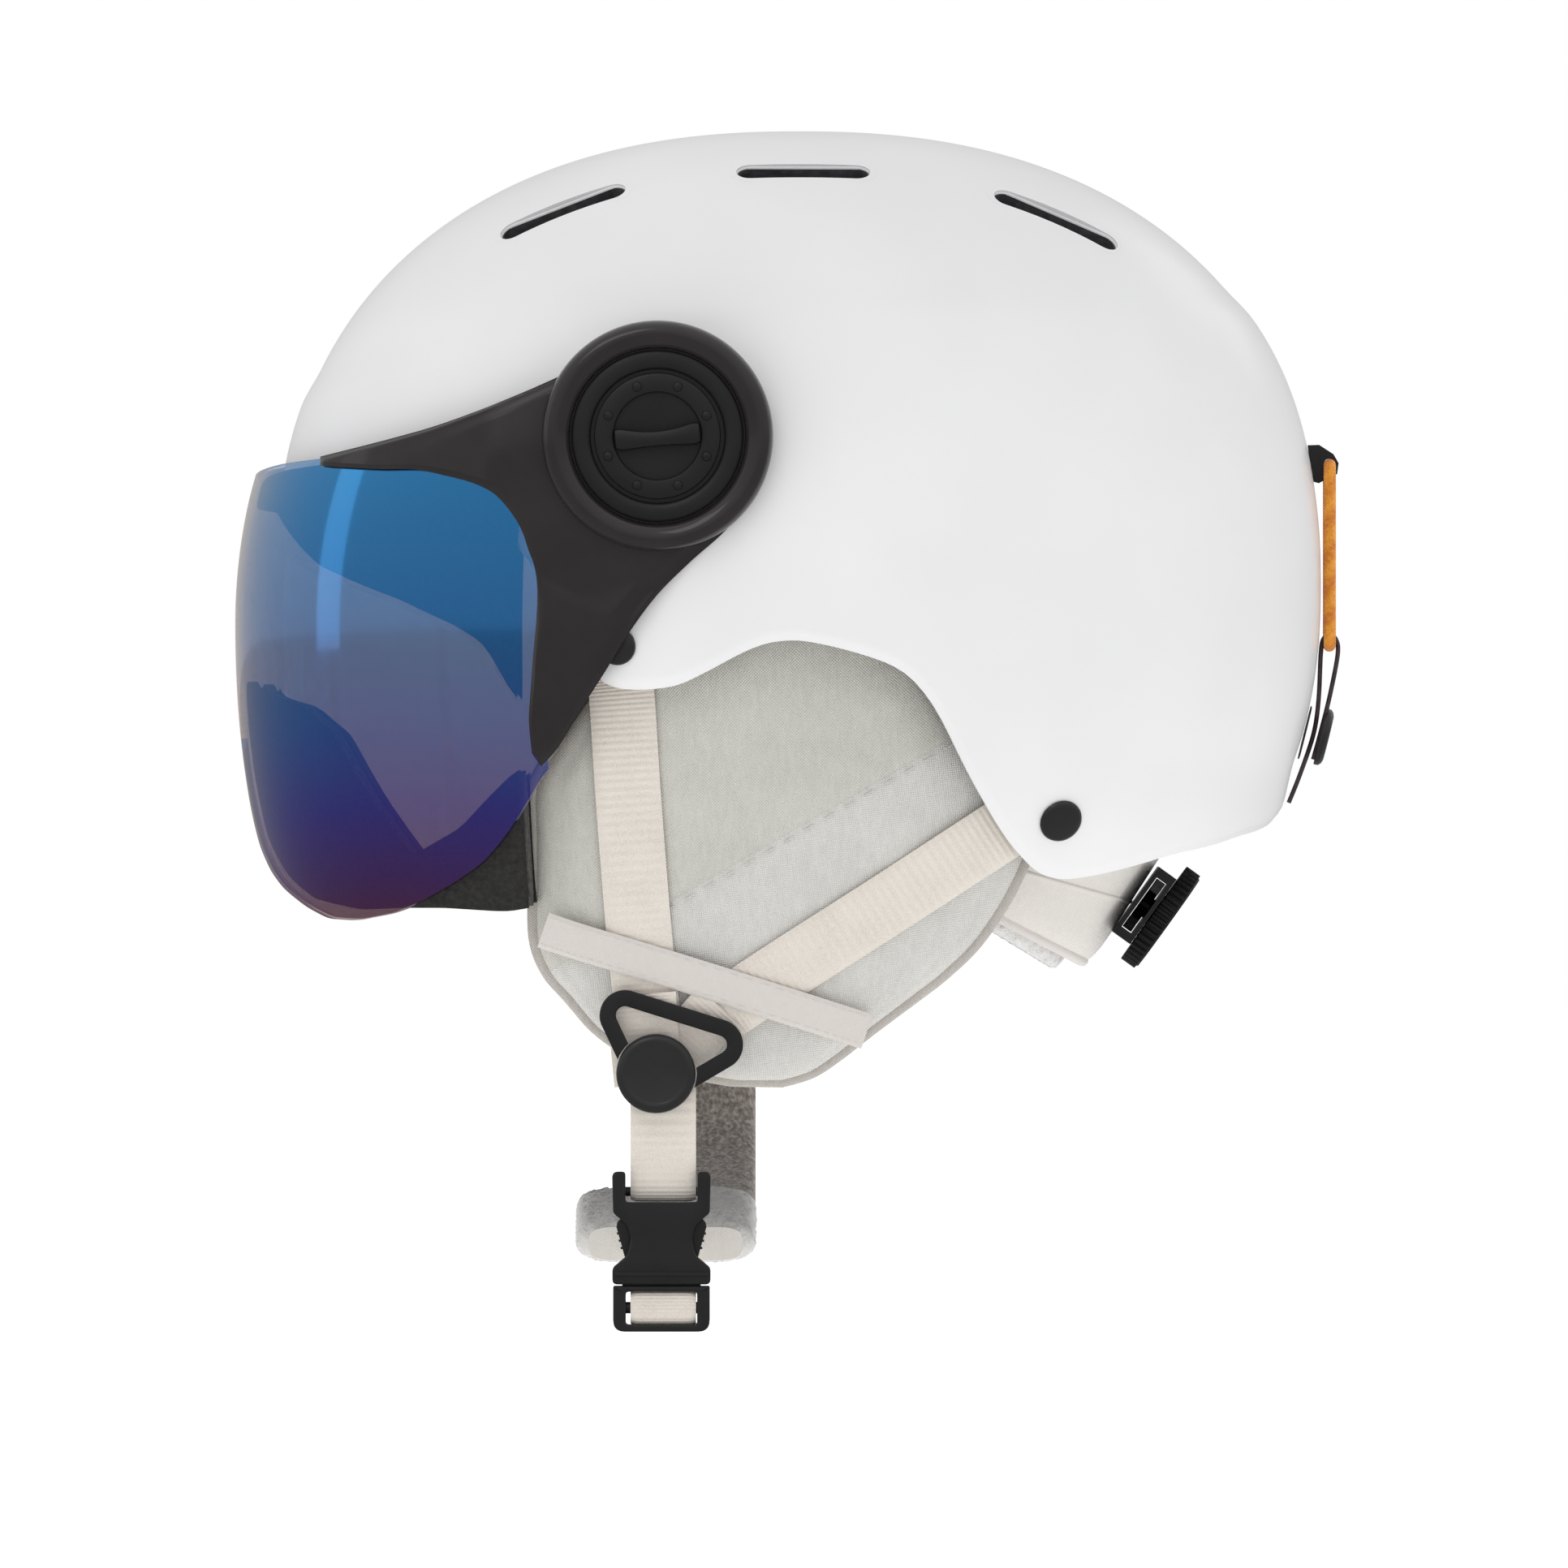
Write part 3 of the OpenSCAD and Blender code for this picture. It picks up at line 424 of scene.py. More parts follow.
class Nodes:
    """A small builder for one node material; positions are in millimetres of the helmet's frame."""

    def __init__(self, name):
        self.mat = bpy.data.materials.new(name)
        self.mat.use_nodes = True
        self.tree = self.mat.node_tree
        self.shader = self.tree.nodes["Principled BSDF"]
        coords = self.add("ShaderNodeTexCoord")
        scale = self.add("ShaderNodeVectorMath", operation="SCALE")
        scale.inputs["Scale"].default_value = 1 / MM
        self.link(coords.outputs["Object"], scale.inputs[0])
        self.pos = scale.outputs[0]

    def add(self, kind, **props):
        node = self.tree.nodes.new(kind)
        for key, value in props.items():
            setattr(node, key, value)
        return node

    def link(self, a, b):
        self.tree.links.new(a, b)

    def value(self, name, number):
        self.shader.inputs[name].default_value = number

    def math(self, operation, a, b=None):
        node = self.add("ShaderNodeMath", operation=operation)
        for socket, v in zip(node.inputs, (a, b)):
            if isinstance(v, (int, float)):
                socket.default_value = v
            elif v is not None:
                self.link(v, socket)
        return node.outputs[0]

    def noise(self, size, detail=3.0, stretch=(1, 1, 1), rough=0.55):
        vec = self.add("ShaderNodeVectorMath", operation="MULTIPLY")
        self.link(self.pos, vec.inputs[0])
        vec.inputs[1].default_value = stretch
        node = self.add("ShaderNodeTexNoise")
        node.inputs["Scale"].default_value = 1 / size
        node.inputs["Detail"].default_value = detail
        node.inputs["Roughness"].default_value = rough
        self.link(vec.outputs[0], node.inputs["Vector"])
        return node.outputs["Fac"]

    def along(self, way):
        dot = self.add("ShaderNodeVectorMath", operation="DOT_PRODUCT")
        self.link(self.pos, dot.inputs[0])
        dot.inputs[1].default_value = way
        return dot.outputs["Value"]

    def wave(self, axis, pitch, turn=0.0):
        """Sine ridges across the X or Z direction, turned by an angle in the XZ plane."""
        a = math.radians(turn)
        way = {"x": (math.cos(a), 0, math.sin(a)), "z": (-math.sin(a), 0, math.cos(a))}[axis]
        return self.math("SINE", self.math("MULTIPLY", self.along(way), 2 * math.pi / pitch))

    def ramp(self, value, stops):
        node = self.add("ShaderNodeValToRGB")
        ramp = node.color_ramp
        while len(ramp.elements) < len(stops):
            ramp.elements.new(0.5)
        for element, (at, colour) in zip(ramp.elements, stops):
            element.position = at
            element.color = (*colour, 1)
        self.link(value, node.inputs[0])
        return node.outputs["Color"]

    def colour(self, socket):
        self.link(socket, self.shader.inputs["Base Color"])

    def rough(self, value, low, high):
        node = self.add("ShaderNodeMapRange")
        self.link(value, node.inputs["Value"])
        node.inputs["To Min"].default_value = low
        node.inputs["To Max"].default_value = high
        self.link(node.outputs["Result"], self.shader.inputs["Roughness"])

    def bump(self, *layers):
        """Stacked bumps: (height socket, depth in millimetres) pairs."""
        last = None
        for height, depth in layers:
            node = self.add("ShaderNodeBump")
            node.inputs["Distance"].default_value = depth * MM
            node.inputs["Strength"].default_value = 1.0
            self.link(height, node.inputs["Height"])
            if last:
                self.link(last, node.inputs["Normal"])
            last = node.outputs["Normal"]
        self.link(last, self.shader.inputs["Normal"])


def plastic(name, colour, rough, grain=0.02, grain_size=0.5, coat=0.0, spread=0.1):
    """Moulded plastic: fine spark-eroded grain, slight colour drift and uneven gloss."""
    n = Nodes(name)
    drift = n.noise(14, 2)
    dark = tuple(c * (1 - spread) for c in colour)
    light = tuple(min(1, c * (1 + spread)) for c in colour)
    n.colour(n.ramp(drift, [(0.3, dark), (0.7, light)]))
    n.rough(n.noise(5, 4), rough * 0.85, min(1, rough * 1.2))
    n.bump((n.noise(grain_size, 2), grain))
    n.value("Coat Weight", coat)
    n.value("Coat Roughness", 0.06)
    n.value("Specular IOR Level", 0.3)
    return n.mat


def woven(name, colour, pitch, turn=0.0, contrast=0.12, depth=0.16, lower_panel_lit_colour_and_turn=None):
    """Plain-weave canvas: warp and weft ridges with uneven yarns. The last argument gives the colour and the turn
    of the weave in the panel below the ear pad's seam; the turn is the cloth's own, but the lighter colour there
    is painted light, for the lower part of the pad that turns towards the light."""
    n = Nodes(name)
    cross = n.math("MULTIPLY", n.wave("x", pitch, turn), n.wave("z", pitch, turn))
    if lower_panel_lit_colour_and_turn:
        below = n.math("MULTIPLY", n.wave("x", pitch, lower_panel_lit_colour_and_turn[1]), n.wave("z", pitch, lower_panel_lit_colour_and_turn[1]))
        panel = n.math("GREATER_THAN", n.along((-SEAM_SLOPE, 0, 1)), SEAM_Z - SEAM_SLOPE * SEAM_X)
        cross = n.math("ADD", n.math("MULTIPLY", cross, panel),
                       n.math("MULTIPLY", below, n.math("SUBTRACT", 1, panel)))
    slubs = n.noise(pitch * 1.6, 2, (1, 1, 0.25))
    cloud = n.noise(22, 3)
    height = n.math("ADD", n.math("MULTIPLY", cross, 0.5), slubs)
    tone = n.math("ADD", n.math("MULTIPLY", height, 0.55), n.math("MULTIPLY", cloud, 0.45))
    dark = tuple(c * (1 - contrast) for c in colour)
    light = tuple(min(1, c * (1 + contrast * 0.6)) for c in colour)
    cloth = n.ramp(tone, [(0.2, dark), (0.55, colour), (0.85, light)])
    if lower_panel_lit_colour_and_turn:
        # painted light: below the seam the cloth is lifted to a lighter tone, where the pad turns towards the
        # light
        painted_light_tone = n.add("ShaderNodeMix", data_type="RGBA", blend_type="MULTIPLY")
        painted_light_tone.inputs[7].default_value = (*(b / a for a, b in zip(colour, lower_panel_lit_colour_and_turn[0])), 1)
        n.link(n.math("SUBTRACT", 1, panel), painted_light_tone.inputs[0])
        n.link(cloth, painted_light_tone.inputs[6])
        cloth = painted_light_tone.outputs[2]
    n.colour(cloth)
    n.value("Roughness", 0.92)
    n.value("Sheen Weight", 0.25)
    n.value("Sheen Roughness", 0.5)
    n.value("Specular IOR Level", 0.2)
    n.bump((height, depth))
    return n.mat


def fleece_material(name, colour):
    n = Nodes(name)
    curls = n.noise(2.0, 5, rough=0.7)
    dark = tuple(c * 0.84 for c in colour)
    n.colour(n.ramp(curls, [(0.3, dark), (0.6, colour)]))
    n.value("Roughness", 1.0)
    n.value("Sheen Weight", 0.6)
    n.value("Sheen Roughness", 0.6)
    n.bump((curls, 0.8), (n.noise(0.5, 2), 0.2))
    return n.mat


def shell_material():
    """White in-mould shell: satin, a faint orange peel and a trace of handling marks."""
    n = Nodes("shell_white")
    drift = n.noise(60, 2)
    n.colour(n.ramp(drift, [(0.3, (0.80, 0.80, 0.81)), (0.7, (0.84, 0.84, 0.845))]))
    n.rough(n.noise(9, 4), 0.30, 0.40)
    n.value("Coat Weight", 0.25)
    n.value("Coat Roughness", 0.18)
    n.bump((n.noise(1.6, 2), 0.012))
    return n.mat


def lens_material():
    """Mirror-coated lens: a blue mirror coating whose colour runs to purple towards the bottom; the purple and
    lavender lower down is a painted reflection of the surroundings.
    """
    n = Nodes("lens_mirror")
    split = n.add("ShaderNodeSeparateXYZ")
    n.link(n.pos, split.inputs[0])
    drift = n.math("MULTIPLY", n.math("SUBTRACT", n.noise(70, 1), 0.5), 16)
    height = n.math("ADD", split.outputs["Z"], drift)
    fac = n.math("DIVIDE", n.math("ADD", height, 95), 130)
    # base colour by height: the blue is the coating's own colour, the purple lower down is a painted reflection
    n.colour(n.ramp(fac, [(0.0, (0.20, 0.024, 0.12)), (0.1, (0.13, 0.03, 0.34)), (0.24, (0.07, 0.06, 0.62)),
                          (0.42, (0.02, 0.20, 0.80)), (0.62, (0.012, 0.30, 0.84)),
                          (1.0, (0.016, 0.38, 0.88))]))
    n.value("Metallic", 1.0)
    n.rough(n.noise(6, 3), 0.07, 0.10)
    n.value("Coat Weight", 1.0)
    n.value("Coat Roughness", 0.03)
    n.value("Coat IOR", 1.6)
    return see_through(n, 0.30, (1.0, 0.86, 0.74))


def see_through(n, share, tint):
    """Lets a tinted share of the light pass straight through the material."""
    clear, both = n.add("ShaderNodeBsdfTransparent"), n.add("ShaderNodeMixShader")
    clear.inputs["Color"].default_value = (*tint, 1)
    both.inputs[0].default_value = share
    n.link(n.shader.outputs[0], both.inputs[1])
    n.link(clear.outputs[0], both.inputs[2])
    n.link(both.outputs[0], n.tree.nodes["Material Output"].inputs["Surface"])
    return n.mat


def lens_back_material():
    """Inner face of the lens: nearly clear."""
    n = Nodes("lens_back")
    n.colour(n.ramp(n.noise(20, 2), [(0.3, (0.03, 0.02, 0.03)), (0.7, (0.045, 0.03, 0.04))]))
    n.value("Roughness", 0.15)
    return see_through(n, 0.9, (1, 1, 1))


def webbing_material():
    """Grosgrain: a tooth of fine yarns over the modelled ribs."""
    n = Nodes("webbing_ivory")
    yarn = n.noise(0.45, 2)
    cloud = n.noise(16, 3)
    n.colour(n.ramp(n.math("ADD", n.math("MULTIPLY", yarn, 0.6), n.math("MULTIPLY", cloud, 0.4)),
                    [(0.25, (0.60, 0.54, 0.48)), (0.5, (0.72, 0.665, 0.60)), (0.8, (0.80, 0.75, 0.69))]))
    n.value("Roughness", 0.75)
    n.value("Sheen Weight", 0.3)
    n.value("Specular IOR Level", 0.3)
    n.bump((yarn, 0.1))
    return n.mat


def heather_material():
    n = Nodes("heather_knit")
    loops = n.noise(1.1, 3, (1, 1, 0.35))
    n.colour(n.ramp(loops, [(0.32, (0.17, 0.14, 0.125)), (0.5, (0.31, 0.275, 0.25)), (0.68, (0.52, 0.48, 0.45))]))
    n.value("Roughness", 0.95)
    n.value("Sheen Weight", 0.4)
    n.bump((loops, 0.35))
    return n.mat


def elastic_material():
    """Round braided cord: two families of diagonal yarns."""
    n = Nodes("elastic_orange")
    braid = n.math("MULTIPLY", n.wave("x", 1.1, 40), n.wave("z", 1.1, -40))
    n.colour(n.ramp(n.math("ADD", n.math("MULTIPLY", braid, 0.35), n.noise(1.2, 2)),
                    [(0.2, (0.62, 0.17, 0.008)), (0.6, (0.90, 0.33, 0.012)), (0.9, (0.95, 0.44, 0.05))]))
    n.value("Roughness", 0.7)
    n.value("Sheen Weight", 0.2)
    n.bump((braid, 0.18))
    return n.mat


def leather_material():
    n = Nodes("tab_dark")
    cells = n.add("ShaderNodeTexVoronoi", feature="DISTANCE_TO_EDGE")
    cells.inputs["Scale"].default_value = 1.4
    n.link(n.pos, cells.inputs["Vector"])
    n.colour(n.ramp(n.noise(3, 4), [(0.3, (0.028, 0.016, 0.02)), (0.7, (0.055, 0.033, 0.04))]))
    n.rough(n.noise(2, 3), 0.4, 0.6)
    n.bump((cells.outputs["Distance"], 0.12))
    return n.mat


def foam_material(name, colour, bead=0.0):
    """Open foam, or moulded bead foam when bead is the size of its beads."""
    n = Nodes(name)
    cells = n.add("ShaderNodeTexVoronoi", feature="DISTANCE_TO_EDGE" if bead else "F1")
    cells.inputs["Scale"].default_value = 1 / (bead or 0.9)
    n.link(n.pos, cells.inputs["Vector"])
    dark, light = tuple(c * 0.6 for c in colour), tuple(c * 1.3 for c in colour)
    n.colour(n.ramp(n.noise(bead or 1.5, 3), [(0.3, dark), (0.7, light)]))
    n.value("Roughness", 0.9)
    n.bump((cells.outputs["Distance"], 0.25))
    return n.mat


SHELL_WHITE = shell_material()
LENS_MIRROR = lens_material()
LENS_BACK = lens_back_material()
FRAME_GLOSS = plastic("frame_charcoal", (0.022, 0.018, 0.019), 0.17, 0.004, 1.5, 0.25)
BLACK = plastic("plastic_black", (0.012, 0.012, 0.013), 0.36, 0.02, 0.45, 0.1)
BLACK_SATIN = plastic("dial_black", (0.011, 0.011, 0.012), 0.42, 0.025, 0.4)
RUBBER = plastic("rubber_black", (0.018, 0.018, 0.019), 0.34, 0.02, 0.8, 0.2)
INNER = plastic("inner_plastic", (0.03, 0.03, 0.032), 0.5, 0.03, 0.6)
RACK_PLASTIC = plastic("rack_plastic", (0.09, 0.09, 0.095), 0.45, 0.02, 0.6)
# the lighter tone below the ear pad's seam is painted light
EAR_CANVAS = woven("ear_canvas", (0.60, 0.59, 0.54), 0.85, 4.0, 0.14, 0.16, ((0.66, 0.645, 0.615), -38.0))
LINING = woven("lining_knit", (0.50, 0.49, 0.46), 1.1, 30.0, 0.12, 0.12)
NECK = woven("neck_weave", (0.72, 0.69, 0.65), 0.7, 20.0, 0.08, 0.1)
BAND = woven("keeper_tape", (0.66, 0.625, 0.59), 0.45, -18.0, 0.05, 0.05)
LACE = woven("binding_mesh", (0.50, 0.47, 0.43), 0.8, 0.0, 0.2, 0.15)
FLEECE = fleece_material("fleece_white", (0.88, 0.87, 0.85))
WEBBING = webbing_material()
HEATHER = heather_material()
ELASTIC = elastic_material()
LEATHER = leather_material()
FOAM_BLACK = foam_material("foam_black", (0.022, 0.021, 0.020))
FOAM_GREY = foam_material("foam_grey", (0.10, 0.098, 0.092))
EPS = foam_material("bead_foam", (0.055, 0.055, 0.06), 3.2)

# ---------------------------------------------------------------- shell and liner

VENT_LEN, VENT_W = 37.0, 8.0
VENTS = [(-66, 104.5, -19), (1, 114, 0), (71.5, 102.5, 19)]
VENT_Y, VENT_LEAN = 54.0, 28.0
LIP_SECTION = [(-0.35, -0.9), (-0.1, -0.5), (0.45, -0.15), (1.1, 0.12), (1.9, 0.06), (1.9, -0.5), (0.4, -1.2),
               (-0.3, -1.2)]
SLEEVE_SECTION = [(0.96, -1.0), (0.99, -1.0), (0.99, -9), (0.96, -9)]      # share of the slot, drop
MESH_BAR = [(-0.45, -7), (0.45, -7), (0.45, 7), (-0.45, 7)]
CREASE = [(-150, 50), (-92, 66), (-55, 74), (3, 78.5), (121, 77.4), (150, 76)]


def vent_matrices():
    for side in (LEFT, RIGHT):
        for x, z, pitch in VENTS:
            yield (Matrix.Translation((x, side * VENT_Y, z)) @ Matrix.Rotation(math.radians(pitch), 4, "Y")
                   @ Matrix.Rotation(math.radians(-side * VENT_LEAN), 4, "X"))


def slot_outline(length, width, steps=12):
    out = []
    for s in (1, -1):
        for k in range(steps + 1):
            a = -math.pi / 2 + math.pi * k / steps
            out.append(Vector((s * ((length - width) / 2 + width / 2 * math.cos(a)), s * width / 2 * math.sin(a))))
    return out


def cut(obj, shape, crossed=False):
    """Takes a closed shape out of obj and leaves a plain mesh; crossed if the shape runs through itself."""
    mesh = bpy.data.meshes.new("cutter")
    mesh.from_pydata([Vector(p) * MM for p in shape[0]], [], shape[1])
    cutter = bpy.data.objects.new("cutter", mesh)
    bpy.context.scene.collection.objects.link(cutter)
    mod = obj.modifiers.new("cut", "BOOLEAN")
    mod.operation, mod.solver, mod.object, mod.use_self = "DIFFERENCE", "EXACT", cutter, crossed
    baked = bpy.data.meshes.new_from_object(obj.evaluated_get(bpy.context.evaluated_depsgraph_get()))
    obj.modifiers.clear()
    name = obj.data.name
    obj.data = baked
    baked.name = name
    bpy.data.objects.remove(cutter)


def vent_cutters(length, width):
    prism = plate(slot_outline(length, width), -45, 45, bevel=0)
    return joined(*(placed(prism, m) for m in vent_matrices()))


def shell_relief(p, az):
    """Soft crease round the crown and flared nape, as an offset of the surface; shell_face rolls the lower edge.
    """
    crease = lookup(p.x, CREASE)
    step = 1.1 * (1 - smooth(-5, 5, p.z - crease)) * smooth(crease - 55, crease - 8, p.z)
    nape = 2.6 * (1 - smooth(0, 18, p.z + 66)) * (1 - smooth(22, 62, fold(az)))
    return step + nape


def shell_face(inner):
    def at(u, v):
        az, up = 360 * u, v ** 1.25
        el = mix(rim_el(az), 90, up)
        rolled = 1 - smooth(0, 0.014, up)
        relief = shell_relief(shell_point(az, el), az)
        off = -SHELL_WALL + 0.7 * rolled + min(0, relief) if inner else -1.1 * rolled + relief
        return shell_point(az, el, off)
    return at


def make_shell():
    shell = add_mesh("shell_body", *dome(shell_face(False), shell_face(True), 256, 90), "helmet", "shell",
                     SHELL_WHITE, replaces=["shell"])
    cut(shell, vent_cutters(VENT_LEN, VENT_W))
    sharpen(shell, 40)
    liner = add_mesh("liner_foam", *dome(
        lambda u, v: shell_point(360 * u, mix(liner_el(360 * u), 90, v), -SHELL_WALL - 0.4),
        lambda u, v: cavity_point(360 * u, mix(liner_el(360 * u), 90, v)), 144, 40), "helmet", "foam_liner", EPS,
        replaces=["eps_liner"])
    cut(liner, vent_cutters(VENT_LEN + 2, VENT_W + 2))
    sharpen(liner, 35)


def vent_surface_height(m, x, y):
    """Height along the vent's own axis at which the shell's surface lies."""
    low, high = -14.0, 14.0
    for _ in range(24):
        mid = (low + high) / 2
        p = m @ Vector((x, y, mid))
        inside = sum(abs(c / h) ** SHELL_N for c, h in zip(p, SHELL)) < 1
        low, high = (mid, high) if inside else (low, mid)
    return low


def make_vents():
    """A soft lip on the shell round each slot, a foam wall below it and a mesh that closes the channel."""
    lips, sleeves, meshes = [], [], []
    for m in vent_matrices():
        ring, wall = [], []
        outline = slot_outline(VENT_LEN, VENT_W, 14)
        n = len(outline)
        for i, p in enumerate(outline):
            t = (outline[(i + 1) % n] - outline[i - 1]).normalized()
            out = Vector((t.y, -t.x))
            h = vent_surface_height(m, *p)
            spots = [(p + out * d, k, d > 0.3) for d, k in LIP_SECTION]
            ring.append([m @ Vector((*q, (vent_surface_height(m, *q) if on_shell else h) + k))
                         for q, k, on_shell in spots])
            wall.append([m @ Vector((*(p * k), h + drop)) for k, drop in SLEEVE_SECTION])
        for piece, rows in ((lips, ring), (sleeves, wall)):
            piece.append(([q for r in rows for q in r], grid_faces(n, len(rows[0]), close_u=True, close_v=True)))
        for k in range(-8, 9):
            for turn in (-1, 1):
                bar = plate(MESH_BAR, -0.4 + 0.2 * turn, 0.3 + 0.2 * turn, bevel=0)
                spot = Matrix.Translation((k * 2.5, 0, -8.6)) @ Matrix.Rotation(turn * 0.6, 4, "Z")
                meshes.append(placed(bar, m @ spot))
    add_mesh("vent_lips", *joined(*lips), "helmet", "shell", SHELL_WHITE, 50)
    add_mesh("vent_sleeves", *joined(*sleeves), "helmet", "foam_liner", EPS, 50)
    add_mesh("vent_mesh", *joined(*meshes), "helmet", "vent_mesh", BLACK_SATIN, 30, replaces=["vent_grilles"])


make_shell()
make_vents()

# ---------------------------------------------------------------- visor

HUB = (-39.0, 40.0)
HUB_FLOOR = 107.5
LENS_X, LENS_FRONT, LENS_B = 40.0, 156.4, 103.0      # back and front of the lens's curve, half its width
LENS_Z, LENS_N, LENS_T = -11.0, 2.3, 2.2             # height of its fullest part, roundness, thickness
LENS_CELLS = (220, 70)
LENS_TOP = [(0, 30), (23, 33), (36, 34.3), (52, 35), (62, 35.5), (69, 33), (74, 26), (78, -8)]
LENS_LOW = [(0, -42), (3, -49), (6, -61), (10, -72), (15.6, -79.5), (20.5, -84), (29, -89.5), (35, -92.5),
            (42, -93), (50.7, -91), (57, -87.5), (63, -82.5), (68, -77), (72, -69), (75.8, -58), (78, -50)]
FOAM_LOW = [(0, -40.5), (3, -47), (6, -59), (10, -70), (20, -81), (29, -87), (42, -90), (50, -89.5),
            (60, -89.5), (70, -90.5), (75, -89)]
FOAM_TOP = [(0, -27), (12, -30), (28, -33), (37, -40), (45, -58), (54, -76), (64, -67.5), (73.4, -51)]
SEAL_LOW = [(0, 21), (20, 20), (37, 5), (54, -4), (64, -11.5), (69, -17), (73.4, -33)]
VISOR_LIFT = 58
FRAME_T = 2.8
COLLAR_INSIDE = 27.2      # the frame's plate stops here, under the hub's collar


def lens_reach(z):
    return LENS_FRONT - LENS_X - (0.0032 if z > LENS_Z else 0.0014) * (z - LENS_Z) ** 2


def lens_side(z):
    return LENS_B - (0.0016 * (z - LENS_Z) ** 2 if z < LENS_Z else 0)


def lens_point(t, z, inset):
    c, s = math.cos(math.radians(t)), math.sin(math.radians(abs(t)))
    y = (lens_side(z) - inset) * s ** (2 / LENS_N)
    return (-LENS_X - (lens_reach(z) - inset) * c ** (2 / LENS_N), -y if t < 0 else y, z)


def lens_y(x, z):
    ratio = min(1.0, max(0.0, -x - LENS_X) / lens_reach(z))
    return lens_side(z) * max(0.001, 1 - ratio ** LENS_N) ** (1 / LENS_N)


def lens_edge(table, t):
    return blurred(lambda step: lookup(abs(t) + step, table), 0.8)


def lens_band(high, low, out_inset, in_inset, t_max, nu, nv, plump=0.0):
    """Band that follows the lens; plump rounds its free edges."""
    def face(inset, sign):
        def at(u, v):
            t = mix(-t_max, t_max, u)
            edge = plump * (abs(2 * v - 1) ** 6 + abs(2 * u - 1) ** 30)
            return lens_point(t, mix(high(t), low(t), v), inset + sign * edge)
        return at
    return slab(face(out_inset, 1), face(in_inset, -1), nu, nv)


def make_lens():
    nu, nv = LENS_CELLS
    edge = lambda table: lambda t: lens_edge(table, t)
    shape = lens_band(edge(LENS_TOP), edge(LENS_LOW), 0, LENS_T, 78, nu, nv, 0.25)
    shield = add_mesh("visor_lens_shield", *shape, "visor", "mirror_lens", [LENS_MIRROR, LENS_BACK], 50,
                      replaces=["visor_lens"])
    for k, poly in enumerate(shield.data.polygons):
        poly.material_index = int(nu * nv <= k < 2 * nu * nv)
    top, low = edge(FOAM_TOP), edge(FOAM_LOW)
    layers = [("visor_foam_black", LENS_T + 0.4, 6.4, FOAM_BLACK, 0.4, 0.0),
              ("visor_foam_grey", 6.6, 11.2, FOAM_GREY, 0.9, 0.7),
              ("visor_foam_fleece", 11.3, 12.5, FOAM_BLACK, 0.6, 1.6)]
    for name, near, far, mat, plump, shrink in layers:
        shape = lens_band(lambda t: top(t) - shrink, lambda t: low(t) + shrink, near, far, 73.4, 120, 10, plump)
        piece = add_mesh(name, *shape, "visor", "visor_foam", mat, 50, () if shrink else ["visor_face_foam"])
    shape = lens_band(lambda t: lens_edge(LENS_TOP, t) - 1.5, edge(SEAL_LOW), LENS_T + 0.3, LENS_T + 3.2, 73.4,
                      120, 16, 0.6)
    seal = add_mesh("visor_seal_top", *shape, "visor", "visor_foam", FOAM_BLACK, 50, replaces=["visor_brow_seal"])


FRAME_OUT = [(-132, 34.8), (-113, 39.4), (-97, 44), (-76, 52), (-59, 59.5), (-46, 64.5), (-33, 66), (-18, 60),
             (-9.5, 49), (-7.7, 37), (-11, 26), (-20, 14.5), (-30, 5.5), (-39, -3.5), (-46.5, -13.5),
             (-53, -24), (-60, -35), (-66, -45), (-71, -50.6)]
FRAME_IN = [(-132, 32.2), (-117, 31.2), (-106, 31), (-97, 29.2), (-90, 27.3), (-85, 25), (-82, 22.5),
            (-79.5, 19.5), (-77.5, 16.5), (-75.8, 13), (-74.5, 9), (-73, 5), (-72.2, 1), (-72, -4),
            (-72.3, -11), (-73, -18.5), (-73.7, -28), (-74.3, -38), (-73.5, -47)]


def lifted(x, z, a):
    """Where a point of the visor comes to once the visor is lifted by an angle."""
    c, s = math.cos(math.radians(a)), math.sin(math.radians(a))
    dx, dz = x - HUB[0], z - HUB[1]
    return HUB[0] + dx * c + dz * s, HUB[1] - dx * s + dz * c


def frame_y(x, z):
    """Outer face of the frame: over the lens, clear of the shell as it lifts, rising to the hub."""
    rho = math.hypot(x - HUB[0], z - HUB[1])
    gap = 0.6 + 2.4 * smooth(30, 52, rho)
    over_lens = lens_y(x, z) + FRAME_T + 0.4
    over_shell = max(shell_y(*lifted(x, z, a)) for a in range(0, VISOR_LIFT + 3, 6)) + gap + FRAME_T
    base = (over_lens + over_shell + math.hypot(over_lens - over_shell, 2)) / 2
    return mix(base, max(base, HUB_FLOOR + FRAME_T + 0.4), 1 - smooth(30, 50, rho))


def frame_shape():
    def at(u, v, low):
        a, b = Vector(spline(FRAME_OUT, u)), Vector(spline(FRAME_IN, u))
        p = a + (b - a) * v
        span = (b - a).length
        from_out, from_lens = v * span, (1 - v) * span
        from_tip = min(u, 1 - u) * 260
        roll = 1.3 * (1 - smooth(0, 1.6, min(from_out, from_tip + 0.2))) + 0.9 * (1 - smooth(0, 1.2, from_lens))
        slope = 1.9 * (1 - smooth(2, 8.5, from_out)) * smooth(6, 40, span)
        inner = FRAME_T - (0.3 if roll > 0.6 else 0)
        return p.x, frame_y(p.x, p.y) - (inner if low else min(roll + slope, FRAME_T - 0.5)), p.y

    points, faces = slab(lambda u, v: at(u, v, False), lambda u, v: at(u, v, True), 150, 40)
    keep = []
    for f in faces:
        mid = sum((Vector(points[i]) for i in f), Vector()) / len(f)
        if math.hypot(mid.x - HUB[0], mid.z - HUB[1]) > COLLAR_INSIDE:
            keep.append(f)
    return points, keep


def about_hub(shape, y):
    """Places a shape drawn along +Z on the hub's axis, at a height along +Y."""
    return facing_y(shape, HUB[0], y, HUB[1])


